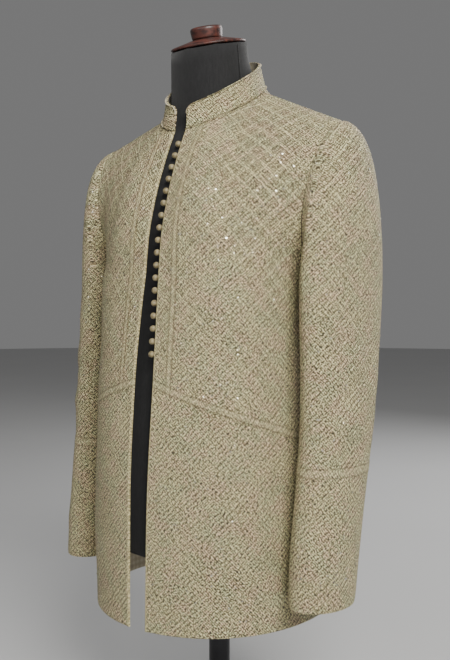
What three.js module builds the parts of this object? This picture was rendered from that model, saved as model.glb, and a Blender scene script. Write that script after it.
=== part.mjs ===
// Open-fronted bandhgala jacket on a limbless dress form with a turned neck cap and a plain stand.
// Millimetres, +Z up, front towards -Y, the wearer's left towards +X, origin under the base.
import * as THREE from 'three';
import { mergeVertices } from 'three/addons/utils/BufferGeometryUtils.js';

// Heights of the garment, above a datum that the stand lifts off the floor
const DATUM_Z = 50;
const HEM_Z = 150;
const UNDERARM_Z = 605;
const SHOULDER_Z = 809;
const FRONT_NECK_Z = 802;
const NECK_RISE = 90;
const NECK_CURVE = 0.85;
const WAIST_SEAM_Z = 458;
const WAIST_SEAM_FALL = 83.75;

// Cloth
const WALL = 2.5;
const SEAM_GAP = 0.32;

// Raised work on the outer face
const BAND_RELIEF = 0.7;
const EDGE_RELIEF = 0.9;
const EDGE_STRIP_SHARE = 0.04;
const HEM_RELIEF = 0.5;
const COLLAR_RELIEF = 0.5;
const CUFF_RELIEF = 0.56;
const TOP_RELIEF_SHARE = 0.5;

// Torso sections: half width, depth before and behind the middle plane, squareness, half front gap
const TORSO = [
  { z: 150, side: 165, front: 179, back: 138, square: 2.1, edge: 13.5 },
  { z: 275, side: 164, front: 178, back: 134, square: 2.2, edge: 14.5 },
  { z: 360, side: 161, front: 175, back: 128, square: 2.3, edge: 15.5 },
  { z: 458, side: 156.5, front: 167, back: 118, square: 2.5, edge: 16 },
  { z: 500, side: 155.5, front: 163, back: 116, square: 2.5, edge: 15.5 },
  { z: 575, side: 157, front: 154, back: 124, square: 2.6, edge: 13 },
  { z: 605, side: 158, front: 150, back: 128, square: 2.6, edge: 11.5 },
];

// Front edge above the underarm and centre-back line, from the underarm level to the neck
const FRONT_EDGE = [
  { z: 605, x: 11.5, y: -150 },
  { z: 660, x: 11, y: -143 },
  { z: 706, x: 10.5, y: -131 },
  { z: 738, x: 10.2, y: -120 },
  { z: 772, x: 10, y: -106 },
];
const CENTRE_BACK = [
  { z: 605, x: 0, y: 128 },
  { z: 680, x: 0, y: 132 },
  { z: 750, x: 0, y: 126 },
  { z: 820, x: 0, y: 108 },
  { z: 862, x: 0, y: 88 },
];

// Neck seam and collar: ellipses round the neck, centre shifted towards the front
const NECK = { x: 71, y: 80, centreY: -12 };
const COLLAR_TOP = { x: 62.5, y: 74, centreY: -14 };
const COLLAR_HEIGHT = 35;
const COLLAR_CORNER = 11;
const COLLAR_LINE = { from: 0.66, to: 0.8 };
const SHOULDER_SEAM_ANGLE = 112;
const FRONT_NECK_HALF_GAP = 10;

// Armhole
const SHOULDER_POINT = { x: 197, y: 6 };
const ARMHOLE_HALF_DEPTH = 67;
const ARMHOLE_LEAN = 0.8;
const ARMHOLE_ROUND = 1.2;

// Fullness of the chest and the shoulder blades over the straight patch
const FULLNESS = 9;
const FULLNESS_SPREAD = 1.15;

// Sleeve sections below the sleeve head: centre, half thickness, half depth, depth of the soft folds
const SLEEVE = [
  { z: 588, x: 201.5, y: -4, thick: 38, deep: 73, fold: 0 },
  { z: 545, x: 202.6, y: -8, thick: 38, deep: 70, fold: 0.6 },
  { z: 503, x: 204, y: -12, thick: 38, deep: 67, fold: 1 },
  { z: 460, x: 204.8, y: -16, thick: 38, deep: 64, fold: 1 },
  { z: 418, x: 204.8, y: -21, thick: 37.5, deep: 60.5, fold: 1 },
  { z: 367, x: 203, y: -27, thick: 37, deep: 57.5, fold: 0.6 },
  { z: 317, x: 201.5, y: -35, thick: 37, deep: 55, fold: 0.3 },
  { z: 248, x: 199.5, y: -45, thick: 36.5, deep: 53.5, fold: 0.1 },
  { z: 190, x: 199, y: -52, thick: 36, deep: 50, fold: 0 },
];
const SLEEVE_TURN = 10;
const CUFF_BAND = { bottom: 352, top: 364 };
const UPPER_SLEEVE_ROWS = [566, 545, 524, 503, 482, 460, 439, 418, 392, 366];
const LOWER_SLEEVE_ROWS = [364, 352, 350, 317, 283, 248, 219, 190];
const HEAD_STEPS = [0, 0.16, 0.34, 0.56, 0.78, 1];
const HEAD_REACH = { top: 31, side: 17, bottom: 8 };
const HEAD_DROP = { top: 0.8, side: 0.62, bottom: 0.3 };
const HEAD_LEAN = { forward: 0.45, down: 0.12, under: 0.35 };
const FOLD_DEPTH = 2.2;
const FOLD_PITCH = 74;
const FOLD_TWIST = 26;
const FOLD_BACK_SHARE = 0.35;

// Buttons: cloth-covered balls standing off the left front's edge on short shanks
const BUTTON_COUNT = 18;
const BUTTON_DIAMETER = 8.6;
const BUTTON_TOP_Z = 783;
const BUTTON_BOTTOM_Z = 502;
const BUTTON_SHANK = 0.9;
const BUTTON_RINGS = 5;
const BUTTON_SEGMENTS = 8;
const SHANK_START = 0.95;
const REST_GAP = 0.3;

// Dress form, neck cap and stand
const FORM_BOTTOM_Z = 236;
const FORM_CLEARANCE = 11;
const FORM_BOTTOM_TUCK = 5;
const NECK_CLEARANCE = 3;
const SHOULDER_CLEARANCE = 0.45;
const FORM_NECK = { radius: 55, centreY: -26, topZ: 931 };
const CAP_TILT = 14;
const POLE_RADIUS = 15;
const BASE = { radius: 148, thickness: 18, rim: 3 };
const SEGMENTS = { flange: 32, knob: 28, base: 48, pole: 24 };

// Columns of the front panels: distance from the front edge as a share of the width, and relief
const FRONT_COLUMNS = [
  { share: 0, relief: 1 },
  { share: 0.018, relief: 1 },
  { share: 0.026, relief: 0 },
  { share: 0.078, relief: 0 },
  { share: 0.086, relief: 0.8 },
  { share: 0.112, relief: 0.8 },
  { share: 0.12, relief: 0 },
  { share: 0.21, relief: 0 },
  { share: 0.3, relief: 0 },
  { share: 0.39, relief: 0 },
  { share: 0.48, relief: 0 },
  { share: 0.58, relief: 0 },
  { share: 0.68, relief: 0 },
  { share: 0.78, relief: 0 },
  { share: 0.89, relief: 0 },
  { share: 1, relief: 0 },
];
const NECK_SHARE = 0.48;
const BACK_COLUMNS = [0, 0.11, 0.21, 0.3, 0.39, 0.48, 0.58, 0.68, 0.78, 0.89, 1];

// Rows: share of the height between two seams, and relief of the band that lies there
const WAIST_BAND = [
  { rise: 0, relief: 0 },
  { rise: 2.5, relief: 0.8 },
  { rise: 12.5, relief: 0.8 },
  { rise: 15, relief: 0 },
];
const BODY_ROWS = [0.2, 0.4, 0.6, 0.8, 1];
const YOKE_ROWS = [0.1, 0.2, 0.31, 0.42, 0.53, 0.64, 0.74, 0.84, 0.93, 1];
const SKIRT_ROWS = [0, 0.012, 0.17, 0.34, 0.5, 0.67, 0.84, 1];
const BACK_ROWS = [0, 0.1, 0.2, 0.3, 0.4, 0.5, 0.6, 0.7, 0.8, 0.9];

const CLOTH_COLOUR = 0xcdc3a0;
const BUTTON_COLOUR = 0xb9ab86;
const FORM_COLOUR = 0x303032;
const WOOD_COLOUR = 0x4a211c;
const METAL_COLOUR = 0x3a3a3c;

function lerp(a, b, t) {
  return a + (b - a) * t;
}

function smooth(t) {
  return t * t * (3 - 2 * t);
}

// Value of one column of a table at a height, by Catmull-Rom between the rows
function tableValue(table, z, column) {
  const rising = table[0].z < table[table.length - 1].z;
  const rows = rising ? table : [...table].reverse();
  const last = rows.length - 1;
  const height = Math.min(Math.max(z, rows[0].z), rows[last].z);
  let i = 0;
  while (i < last - 1 && height > rows[i + 1].z) i += 1;
  const t = (height - rows[i].z) / (rows[i + 1].z - rows[i].z);
  const before = rows[Math.max(i - 1, 0)];
  const after = rows[Math.min(i + 2, last)];
  const span = rows[i + 1].z - rows[i].z;
  const slopeA = ((rows[i + 1][column] - before[column]) / (rows[i + 1].z - before.z)) * span;
  const slopeB = ((after[column] - rows[i][column]) / (after.z - rows[i].z)) * span;
  const t2 = t * t;
  const t3 = t2 * t;
  return (2 * t3 - 3 * t2 + 1) * rows[i][column] + (t3 - 2 * t2 + t) * slopeA
    + (3 * t2 - 2 * t3) * rows[i + 1][column] + (t3 - t2) * slopeB;
}

// Point at a share of a polyline's length
function along(points, share) {
  const lengths = [0];
  for (let i = 1; i < points.length; i += 1) {
    lengths.push(lengths[i - 1] + points[i].distanceTo(points[i - 1]));
  }
  const target = share * lengths[points.length - 1];
  let i = 1;
  while (i < points.length - 1 && lengths[i] < target) i += 1;
  const t = (target - lengths[i - 1]) / (lengths[i] - lengths[i - 1]);
  return points[i - 1].clone().lerp(points[i], t);
}

// Left half of the torso's section at a height, from the front edge or the centre back to the side
function torsoArc(z, towardsFront) {
  const side = tableValue(TORSO, z, 'side');
  const depth = tableValue(TORSO, z, towardsFront ? 'front' : 'back');
  const square = tableValue(TORSO, z, 'square');
  const edge = towardsFront ? tableValue(TORSO, z, 'edge') : 0;
  const points = [];
  const steps = 48;
  const start = Math.asin(Math.pow(edge / side, square / 2));
  for (let i = 0; i <= steps; i += 1) {
    const angle = lerp(start, Math.PI / 2, i / steps);
    const x = side * Math.pow(Math.sin(angle), 2 / square);
    const y = depth * Math.pow(Math.max(Math.cos(angle), 0), 2 / square);
    points.push(new THREE.Vector3(x, towardsFront ? -y : y, z));
  }
  return points;
}

function torsoPoint(z, share, towardsFront) {
  return along(torsoArc(z, towardsFront), share);
}

// Height of the waist seam, which falls from the front edge to the side seam
function waistSeamZ(share) {
  return WAIST_SEAM_Z - WAIST_SEAM_FALL * share;
}

function torsoAt(share, towardsFront, heightAt) {
  const z = heightAt(share);
  return torsoPoint(z, share, towardsFront);
}

// Point of the neck seam, by the angle from the centre front
function neckPoint(degrees, ring = NECK, lift = 0) {
  const angle = THREE.MathUtils.degToRad(degrees);
  const rise = NECK_RISE * Math.pow(Math.sin(angle / 2) ** 2, NECK_CURVE);
  const x = ring.x * Math.sin(angle);
  const y = ring.centreY - ring.y * Math.cos(angle);
  return new THREE.Vector3(x, y, FRONT_NECK_Z + rise + lift);
}

const FRONT_NECK_ANGLE = THREE.MathUtils.radToDeg(Math.asin(FRONT_NECK_HALF_GAP / NECK.x));

// Armhole, by the angle from the shoulder point towards the front or the back
function armholePoint(turn, towardsFront) {
  const middle = (SHOULDER_Z + UNDERARM_Z) / 2;
  const z = middle + (SHOULDER_Z - middle) * Math.cos(turn);
  const rise = (z - UNDERARM_Z) / (SHOULDER_Z - UNDERARM_Z);
  const side = tableValue(TORSO, UNDERARM_Z, 'side');
  const x = lerp(side, SHOULDER_POINT.x, Math.pow(Math.max(rise, 0), ARMHOLE_LEAN));
  const depth = ARMHOLE_HALF_DEPTH * Math.pow(Math.abs(Math.sin(turn)), ARMHOLE_ROUND);
  const shift = lerp(0, SHOULDER_POINT.y, rise);
  return new THREE.Vector3(x, shift + (towardsFront ? -depth : depth), z);
}

// Upper edge of a front or back panel: neck seam, then shoulder seam
function topPoint(share, towardsFront) {
  const end = neckPoint(SHOULDER_SEAM_ANGLE);
  if (share <= NECK_SHARE + 1e-9) {
    const t = share / NECK_SHARE;
    const from = towardsFront ? FRONT_NECK_ANGLE : 180;
    return neckPoint(lerp(from, SHOULDER_SEAM_ANGLE, t));
  }
  const t = (share - NECK_SHARE) / (1 - NECK_SHARE);
  const tip = new THREE.Vector3(SHOULDER_POINT.x, SHOULDER_POINT.y, SHOULDER_Z);
  return end.lerp(tip, t);
}

function middleLine(share, towardsFront) {
  const table = towardsFront ? FRONT_EDGE : CENTRE_BACK;
  const top = topPoint(0, towardsFront);
  const rows = [...table, { z: top.z, x: top.x, y: top.y }];
  const points = [];
  const steps = 24;
  for (let i = 0; i <= steps; i += 1) {
    const z = lerp(UNDERARM_Z, top.z, i / steps);
    points.push(new THREE.Vector3(tableValue(rows, z, 'x'), tableValue(rows, z, 'y'), z));
  }
  return along(points, share);
}

// Coons patch of the chest or the shoulder blade, between the underarm level and the upper edge
function yokePoint(u, v, towardsFront) {
  const bottom = torsoPoint(UNDERARM_Z, u, towardsFront);
  const top = topPoint(u, towardsFront);
  const middle = middleLine(v, towardsFront);
  const armhole = armholePoint(Math.PI * (1 - v), towardsFront);
  const corners = [
    torsoPoint(UNDERARM_Z, 0, towardsFront),
    torsoPoint(UNDERARM_Z, 1, towardsFront),
    topPoint(0, towardsFront),
    topPoint(1, towardsFront),
  ];
  const point = new THREE.Vector3();
  point.addScaledVector(bottom, 1 - v);
  point.addScaledVector(top, v);
  point.addScaledVector(middle, 1 - u);
  point.addScaledVector(armhole, u);
  point.addScaledVector(corners[0], -(1 - u) * (1 - v));
  point.addScaledVector(corners[1], -u * (1 - v));
  point.addScaledVector(corners[2], -(1 - u) * v);
  point.addScaledVector(corners[3], -u * v);
  const fullness = Math.sin(Math.PI * v) * Math.sin(Math.PI * Math.min(u * FULLNESS_SPREAD, 1));
  point.y += (towardsFront ? -1 : 1) * FULLNESS * fullness;
  return point;
}

// Grids of points on the cloth's outer face: grid[row][column], with the relief of each point
function frontUpperGrid() {
  const rows = [];
  for (const band of WAIST_BAND) {
    rows.push(FRONT_COLUMNS.map(({ share, relief }) => {
      const point = torsoAt(share, true, (s) => waistSeamZ(s) + band.rise);
      return { point, relief: Math.max(relief * EDGE_RELIEF, band.relief * BAND_RELIEF) };
    }));
  }
  const start = WAIST_BAND[WAIST_BAND.length - 1].rise;
  for (const t of BODY_ROWS) {
    rows.push(FRONT_COLUMNS.map(({ share, relief }) => {
      const point = torsoAt(share, true, (s) => lerp(waistSeamZ(s) + start, UNDERARM_Z, t));
      return { point, relief: relief * EDGE_RELIEF };
    }));
  }
  for (const v of YOKE_ROWS) {
    rows.push(FRONT_COLUMNS.map(({ share, relief }) => {
      const height = relief * EDGE_RELIEF * (v < 1 ? 1 : TOP_RELIEF_SHARE);
      return { point: yokePoint(share, v, true), relief: height };
    }));
  }
  return rows;
}

// The skirt keeps the raised strip along its edge; the border ends at the waist seam
function frontSkirtGrid() {
  return SKIRT_ROWS.map((t, index) => FRONT_COLUMNS.map(({ share, relief }) => {
    const point = torsoAt(share, true, (s) => lerp(HEM_Z, waistSeamZ(s), t));
    const strip = share < EDGE_STRIP_SHARE ? relief * EDGE_RELIEF : 0;
    const hem = index < 2 ? HEM_RELIEF : 0;
    return { point, relief: Math.max(strip, hem) };
  }));
}

// Back panel: rows of equal height up to the underarm, then the patch of the shoulder blade
function backGrid() {
  const rows = BACK_ROWS.map((t) => lerp(HEM_Z, UNDERARM_Z, t)).concat([UNDERARM_Z]);
  const grid = rows.map((z) => BACK_COLUMNS.map((share) => {
    return { point: torsoPoint(z, share, false), relief: 0 };
  }));
  for (const v of YOKE_ROWS) {
    grid.push(BACK_COLUMNS.map((share) => ({ point: yokePoint(share, v, false), relief: 0 })));
  }
  return grid;
}

// Ring point of the sleeve at a height; the angle is measured from the outer side towards the front
function sleeveRingPoint(z, angle) {
  const centreX = tableValue(SLEEVE, z, 'x');
  const centreY = tableValue(SLEEVE, z, 'y');
  const thick = tableValue(SLEEVE, z, 'thick');
  const deep = tableValue(SLEEVE, z, 'deep');
  const fold = tableValue(SLEEVE, z, 'fold');
  const outer = Math.max(Math.cos(angle), 0);
  const crease = Math.sin((2 * Math.PI * (z + FOLD_TWIST * Math.sin(angle))) / FOLD_PITCH);
  const strength = lerp(FOLD_BACK_SHARE, 1, Math.sin(angle)) * outer;
  const across = thick * Math.cos(angle) - FOLD_DEPTH * fold * crease * strength;
  const run = -deep * Math.sin(angle);
  const turn = THREE.MathUtils.degToRad(SLEEVE_TURN);
  const x = centreX + across * Math.cos(turn) + run * Math.sin(turn);
  const y = centreY - across * Math.sin(turn) + run * Math.cos(turn);
  return new THREE.Vector3(x, y, z);
}

// The armhole points in order round the sleeve: underarm, front, shoulder, back
function armholeLoop() {
  const loop = [armholePoint(Math.PI, true)];
  for (const v of YOKE_ROWS) loop.push(armholePoint(Math.PI * (1 - v), true));
  for (let i = YOKE_ROWS.length - 2; i >= 0; i -= 1) {
    loop.push(armholePoint(Math.PI * (1 - YOKE_ROWS[i]), false));
  }
  return loop;
}

// Angles of the sleeve's columns, one for each armhole point
function sleeveAngles() {
  const half = YOKE_ROWS.length;
  const angles = [];
  for (let i = 0; i < half * 2; i += 1) angles.push(Math.PI - (Math.PI * i) / half);
  return angles;
}

function weightFor(angle, values) {
  const up = Math.cos(angle);
  return up > 0 ? lerp(values.side, values.top, smooth(up)) : lerp(values.side, values.bottom, smooth(-up));
}

// Columns round the sleeve head and down to the cuff
function sleeveGrid(columns) {
  const loop = armholeLoop();
  const angles = sleeveAngles();
  const count = loop.length;
  const grid = [];
  for (const t of HEAD_STEPS) {
    grid.push(columns.map((column) => {
      const k = ((column % count) + count) % count;
      const start = loop[k];
      const angle = angles[k];
      const end = sleeveRingPoint(SLEEVE[0].z, angle);
      const fall = Math.max(-Math.cos(angle), 0);
      const down = HEAD_LEAN.down + HEAD_LEAN.under * fall;
      const out = new THREE.Vector3(1, -HEAD_LEAN.forward * Math.sin(angle), -down);
      out.normalize();
      const reach = weightFor(angle, HEAD_REACH);
      const drop = weightFor(angle, HEAD_DROP);
      const handleA = start.clone().addScaledVector(out, reach);
      const handleB = end.clone();
      handleB.z += drop * (start.z - end.z);
      const curve = new THREE.CubicBezierCurve3(start, handleA, handleB, end);
      return { point: curve.getPoint(t), relief: 0 };
    }));
  }
  for (const z of [...UPPER_SLEEVE_ROWS, ...LOWER_SLEEVE_ROWS]) {
    const inBand = z <= CUFF_BAND.top && z >= CUFF_BAND.bottom;
    grid.push(columns.map((column) => {
      const k = ((column % count) + count) % count;
      return { point: sleeveRingPoint(z, angles[k]), relief: inBand ? CUFF_RELIEF : 0 };
    }));
  }
  return grid;
}

const SLEEVE_SEAM_STEPS = 4;

function topSleeveGrid() {
  const count = YOKE_ROWS.length * 2;
  const columns = [];
  for (let i = SLEEVE_SEAM_STEPS; i <= count - SLEEVE_SEAM_STEPS; i += 1) columns.push(i);
  return sleeveGrid(columns);
}

function underSleeveGrid() {
  const columns = [];
  for (let i = -SLEEVE_SEAM_STEPS; i <= SLEEVE_SEAM_STEPS; i += 1) columns.push(i);
  return sleeveGrid(columns);
}

// Collar: rows up the stand, columns round the neck from one front edge to the other
const COLLAR_LEVELS = [0, 0.3, 0.62, 0.68, 0.78, 0.84, 1];

function collarAngles() {
  const front = [];
  FRONT_COLUMNS.filter(({ share }) => share <= NECK_SHARE).forEach(({ share }) => {
    front.push(lerp(FRONT_NECK_ANGLE, SHOULDER_SEAM_ANGLE, share / NECK_SHARE));
  });
  const back = BACK_COLUMNS.filter((share) => share < NECK_SHARE - 1e-9).map((share) => {
    return lerp(180, SHOULDER_SEAM_ANGLE, share / NECK_SHARE);
  });
  const left = front.concat(back.reverse());
  const right = left.slice(0, -1).map((angle) => 360 - angle).reverse();
  return left.concat(right);
}

function collarPoint(level, degrees) {
  const base = neckPoint(degrees);
  const top = neckPoint(degrees, COLLAR_TOP, COLLAR_HEIGHT);
  const edge = Math.min(degrees, 360 - degrees) - FRONT_NECK_ANGLE;
  const run = THREE.MathUtils.degToRad(edge) * NECK.y;
  const near = Math.max(1 - run / COLLAR_CORNER, 0);
  const cut = COLLAR_CORNER * (1 - Math.sqrt(Math.max(1 - near * near, 0))) / COLLAR_HEIGHT;
  return base.lerp(top, level * (1 - cut));
}

function collarGrid() {
  const angles = collarAngles();
  return COLLAR_LEVELS.map((level) => angles.map((degrees) => {
    const line = level > COLLAR_LINE.from && level < COLLAR_LINE.to;
    return { point: collarPoint(level, degrees), relief: line ? COLLAR_RELIEF : 0 };
  }));
}

// Mirror of a grid in the middle plane, with the columns reversed so that it still faces out
function mirrored(grid) {
  return grid.map((row) => [...row].reverse().map(({ point, relief }) => {
    return { point: new THREE.Vector3(-point.x, point.y, point.z), relief };
  }));
}

function reversedColumns(grid) {
  return grid.map((row) => [...row].reverse());
}

// Unit normals of a grid whose rows go up and whose columns go left to right seen from outside
function gridNormals(grid) {
  const rows = grid.length;
  const columns = grid[0].length;
  return grid.map((row, r) => row.map((cell, c) => {
    const right = grid[r][Math.min(c + 1, columns - 1)].point;
    const left = grid[r][Math.max(c - 1, 0)].point;
    const up = grid[Math.min(r + 1, rows - 1)][c].point;
    const down = grid[Math.max(r - 1, 0)][c].point;
    const across = right.clone().sub(left);
    const rise = up.clone().sub(down);
    return across.cross(rise).normalize();
  }));
}

// Points of two panels count as one seam point when they round to the same key
const SEAM_KEY_STEPS = 20;

function keyOf(point) {
  return point.toArray().map((value) => Math.round(value * SEAM_KEY_STEPS)).join(',');
}

// Panels that meet at a seam share one normal at each common point, so that their edges meet in a mitre
function sharedNormals(grids) {
  const sums = new Map();
  const own = grids.map(gridNormals);
  grids.forEach((grid, g) => grid.forEach((row, r) => row.forEach((cell, c) => {
    const key = keyOf(cell.point);
    const sum = sums.get(key) ?? new THREE.Vector3();
    sum.add(own[g][r][c]);
    sums.set(key, sum);
  })));
  return { own, sums };
}

const SIDE_SEAM_LEAST_X = 100;

function isSideSeam(point) {
  return Math.abs(point.y) < 0.01 && Math.abs(point.x) > SIDE_SEAM_LEAST_X && point.z < UNDERARM_Z - 1;
}

// Keeps a seam mitre from collapsing where two panels lie back to back under the arm
const LEAST_MITRE = 0.2;

function mitre(point, own, sums, bias) {
  const sum = sums.get(keyOf(point)).clone();
  sum.add(bias(point));
  if (sum.length() < LEAST_MITRE) return own.clone();
  return sum.normalize();
}

// A wall: outer face, inner face one thickness behind it, and a rim round the edge
function wallGeometry(grid, normals, thickness, inset) {
  const rows = grid.length;
  const columns = grid[0].length;
  const outer = [];
  const inner = [];
  for (let r = 0; r < rows; r += 1) {
    for (let c = 0; c < columns; c += 1) {
      const shift = new THREE.Vector3();
      const here = grid[r][c].point;
      const towards = (rr, cc, amount) => {
        shift.addScaledVector(grid[rr][cc].point.clone().sub(here).normalize(), amount);
      };
      if (c === 0) towards(r, 1, inset.left);
      if (c === columns - 1) towards(r, columns - 2, inset.right);
      if (r === 0) towards(1, c, inset.bottom);
      if (r === rows - 1) {
        towards(rows - 2, c, inset.top);
        shift.x += Math.sign(here.x) * (inset.apart ?? 0);
      }
      const base = here.clone().add(shift);
      outer.push(base.clone().addScaledVector(normals[r][c], grid[r][c].relief));
      inner.push(base.clone().addScaledVector(normals[r][c], -thickness));
    }
  }
  const positions = [];
  const corner = (list, r, c) => list[r * columns + c];
  const triangle = (a, b, c) => positions.push(...a.toArray(), ...b.toArray(), ...c.toArray());
  const quad = (a, b, c, d) => {
    triangle(a, b, c);
    triangle(a, c, d);
  };
  for (let r = 0; r < rows - 1; r += 1) {
    for (let c = 0; c < columns - 1; c += 1) {
      const o = [[r, c], [r, c + 1], [r + 1, c + 1], [r + 1, c]].map(([i, j]) => corner(outer, i, j));
      const n = [[r, c], [r, c + 1], [r + 1, c + 1], [r + 1, c]].map(([i, j]) => corner(inner, i, j));
      quad(o[0], o[1], o[2], o[3]);
      quad(n[0], n[3], n[2], n[1]);
    }
  }
  for (let c = 0; c < columns - 1; c += 1) {
    quad(corner(outer, 0, c + 1), corner(outer, 0, c), corner(inner, 0, c), corner(inner, 0, c + 1));
    const r = rows - 1;
    quad(corner(outer, r, c), corner(outer, r, c + 1), corner(inner, r, c + 1), corner(inner, r, c));
  }
  for (let r = 0; r < rows - 1; r += 1) {
    quad(corner(outer, r, 0), corner(outer, r + 1, 0), corner(inner, r + 1, 0), corner(inner, r, 0));
    const c = columns - 1;
    quad(corner(outer, r + 1, c), corner(outer, r, c), corner(inner, r, c), corner(inner, r + 1, c));
  }
  return soupGeometry(positions);
}

const MERGE_DISTANCE = 1e-4;

function soupGeometry(positions) {
  const geometry = new THREE.BufferGeometry();
  geometry.setAttribute('position', new THREE.Float32BufferAttribute(positions, 3));
  return mergeVertices(geometry, MERGE_DISTANCE);
}

function finished(geometry, name, material) {
  geometry.computeVertexNormals();
  const mesh = new THREE.Mesh(geometry, material);
  mesh.name = name;
  return mesh;
}

const cloth = new THREE.MeshStandardMaterial({ color: CLOTH_COLOUR, roughness: 0.85, metalness: 0 });
const buttonCloth = new THREE.MeshStandardMaterial({ color: BUTTON_COLOUR, roughness: 0.55, metalness: 0 });
const formCloth = new THREE.MeshStandardMaterial({ color: FORM_COLOUR, roughness: 0.9, metalness: 0 });
const wood = new THREE.MeshStandardMaterial({ color: WOOD_COLOUR, roughness: 0.3, metalness: 0 });
const metal = new THREE.MeshStandardMaterial({ color: METAL_COLOUR, roughness: 0.5, metalness: 0.8 });

// Panels of the left side; seen from outside, the front's columns run from the edge to the side
function leftPanels() {
  return {
    front_upper: frontUpperGrid(),
    front_skirt: frontSkirtGrid(),
    back: reversedColumns(backGrid()),
    top_sleeve: upward(topSleeveGrid()),
    under_sleeve: upward(underSleeveGrid()),
  };
}

// Sleeve rows are made from the armhole down; a grid's rows go up
function upward(grid) {
  return [...grid].reverse();
}

const half = SEAM_GAP / 2;
const INSETS = {
  front_upper: { left: 0, right: half, bottom: half, top: half },
  front_skirt: { left: 0, right: half, bottom: 0, top: half },
  back: { left: half, right: half, bottom: 0, top: half },
  top_sleeve: { left: 1.2 * half, right: 1.2 * half, bottom: 0, top: half, apart: SEAM_GAP },
  under_sleeve: { left: 1.2 * half, right: 1.2 * half, bottom: 0, top: half, apart: 2.5 * SEAM_GAP },
  collar: { left: 0, right: 0, bottom: 1.5 * SEAM_GAP, top: 0 },
};

// Mitres of the armhole lean down near the underarm, where the sleeve doubles back on the side
const UNDERARM_MITRE = { rise: 70, weight: 1.2 };

function jacket(group) {
  const left = leftPanels();
  const names = Object.keys(left);
  const right = names.map((name) => mirrored(left[name]));
  const collar = collarGrid();
  const grids = [...names.map((name) => left[name]), ...right, collar];
  const { own, sums } = sharedNormals(grids);
  const underarm = (point) => {
    const low = THREE.MathUtils.clamp(1 - (point.z - UNDERARM_Z) / UNDERARM_MITRE.rise, 0, 1);
    return new THREE.Vector3(0, 0, -UNDERARM_MITRE.weight * low);
  };
  const seam = new Set();
  const counts = new Map();
  grids.forEach((grid) => grid.forEach((row) => row.forEach(({ point }) => {
    const key = keyOf(point);
    counts.set(key, (counts.get(key) ?? 0) + 1);
    if (counts.get(key) > 1) seam.add(key);
  })));
  const bothSides = armholeLoop().flatMap((p) => [p, new THREE.Vector3(-p.x, p.y, p.z)]);
  const onArmhole = new Set(bothSides.map(keyOf));
  const bias = (point) => (onArmhole.has(keyOf(point)) ? underarm(point) : new THREE.Vector3());
  const add = (grid, index, name, inset) => {
    const normals = grid.map((row, r) => row.map(({ point }, c) => {
      if (isSideSeam(point)) return new THREE.Vector3(Math.sign(point.x), 0, 0);
      return seam.has(keyOf(point)) ? mitre(point, own[index][r][c], sums, bias) : own[index][r][c];
    }));
    group.add(finished(wallGeometry(grid, normals, WALL, inset), name, cloth));
  };
  names.forEach((name, i) => add(left[name], i, `${name}_left`, INSETS[name]));
  names.forEach((name, i) => {
    const inset = { ...INSETS[name], left: INSETS[name].right, right: INSETS[name].left };
    add(right[i], names.length + i, `${name}_right`, inset);
  });
  add(collar, grids.length - 1, 'collar', INSETS.collar);
}

// Ball buttons on short shanks beside the left front's edge
function frontEdgePoint(z) {
  if (z <= UNDERARM_Z) return torsoPoint(z, 0, true);
  const top = topPoint(0, true);
  const rows = [...FRONT_EDGE, { z: top.z, x: top.x, y: top.y }];
  return new THREE.Vector3(tableValue(rows, z, 'x'), tableValue(rows, z, 'y'), z);
}

function buttons(group) {
  const radius = BUTTON_DIAMETER / 2;
  for (let i = 0; i < BUTTON_COUNT; i += 1) {
    const z = lerp(BUTTON_TOP_Z, BUTTON_BOTTOM_Z, i / (BUTTON_COUNT - 1));
    const edge = frontEdgePoint(z);
    const profile = [new THREE.Vector2(0, -radius)];
    for (let k = 1; k < BUTTON_RINGS; k += 1) {
      const angle = -Math.PI / 2 + (Math.PI * k) / BUTTON_RINGS;
      profile.push(new THREE.Vector2(radius * Math.cos(angle), radius * Math.sin(angle)));
    }
    profile.push(new THREE.Vector2(BUTTON_SHANK, radius * SHANK_START));
    profile.push(new THREE.Vector2(BUTTON_SHANK, radius + BUTTON_SHANK));
    profile.push(new THREE.Vector2(0, radius + BUTTON_SHANK));
    const geometry = latheGeometry(profile, BUTTON_SEGMENTS);
    const mesh = finished(geometry, `button_${String(i + 1).padStart(2, '0')}`, buttonCloth);
    mesh.rotation.z = -Math.PI / 2;
    const reach = radius + BUTTON_SHANK + REST_GAP;
    mesh.position.set(edge.x - reach, edge.y + WALL / 2, z);
    group.add(mesh);
  }
}

// Solid of revolution about its own Y axis, as one closed body
function latheGeometry(profile, segments) {
  const geometry = new THREE.LatheGeometry(profile, segments);
  geometry.deleteAttribute('normal');
  geometry.deleteAttribute('uv');
  return mergeVertices(geometry, MERGE_DISTANCE);
}

// Dress form: the torso's own surface set in from the cloth, closed across the armholes and the hem
const FORM_SHARES = [0, 0.11, 0.21, 0.3, 0.39, 0.48, 0.58, 0.68, 0.78, 0.89, 1];
const FORM_HEIGHTS = [FORM_BOTTOM_Z, 242, 300, 370, 440, 500, 560, UNDERARM_Z];
const NECK_RINGS = [
  { x: 66, y: 74, centreY: -12, lift: -3 },
  { x: 59, y: 64, centreY: -17, lift: 12 },
  { x: 55.5, y: 57, centreY: -23, lift: 32 },
];

function formHalf(towardsFront) {
  const rows = FORM_HEIGHTS.map((z) => FORM_SHARES.map((share) => torsoPoint(z, share, towardsFront)));
  for (const v of YOKE_ROWS) rows.push(FORM_SHARES.map((share) => yokePoint(share, v, towardsFront)));
  const closeFront = (point, share) => {
    const gap = tableValue(TORSO, point.z, 'edge');
    if (towardsFront) point.x -= gap * Math.pow(Math.max(1 - share / NECK_SHARE, 0), 2);
    return point;
  };
  const grid = rows.map((row) => row.map((point, i) => ({ point: closeFront(point, FORM_SHARES[i]) })));
  return towardsFront ? grid : reversedColumns(grid);
}

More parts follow.
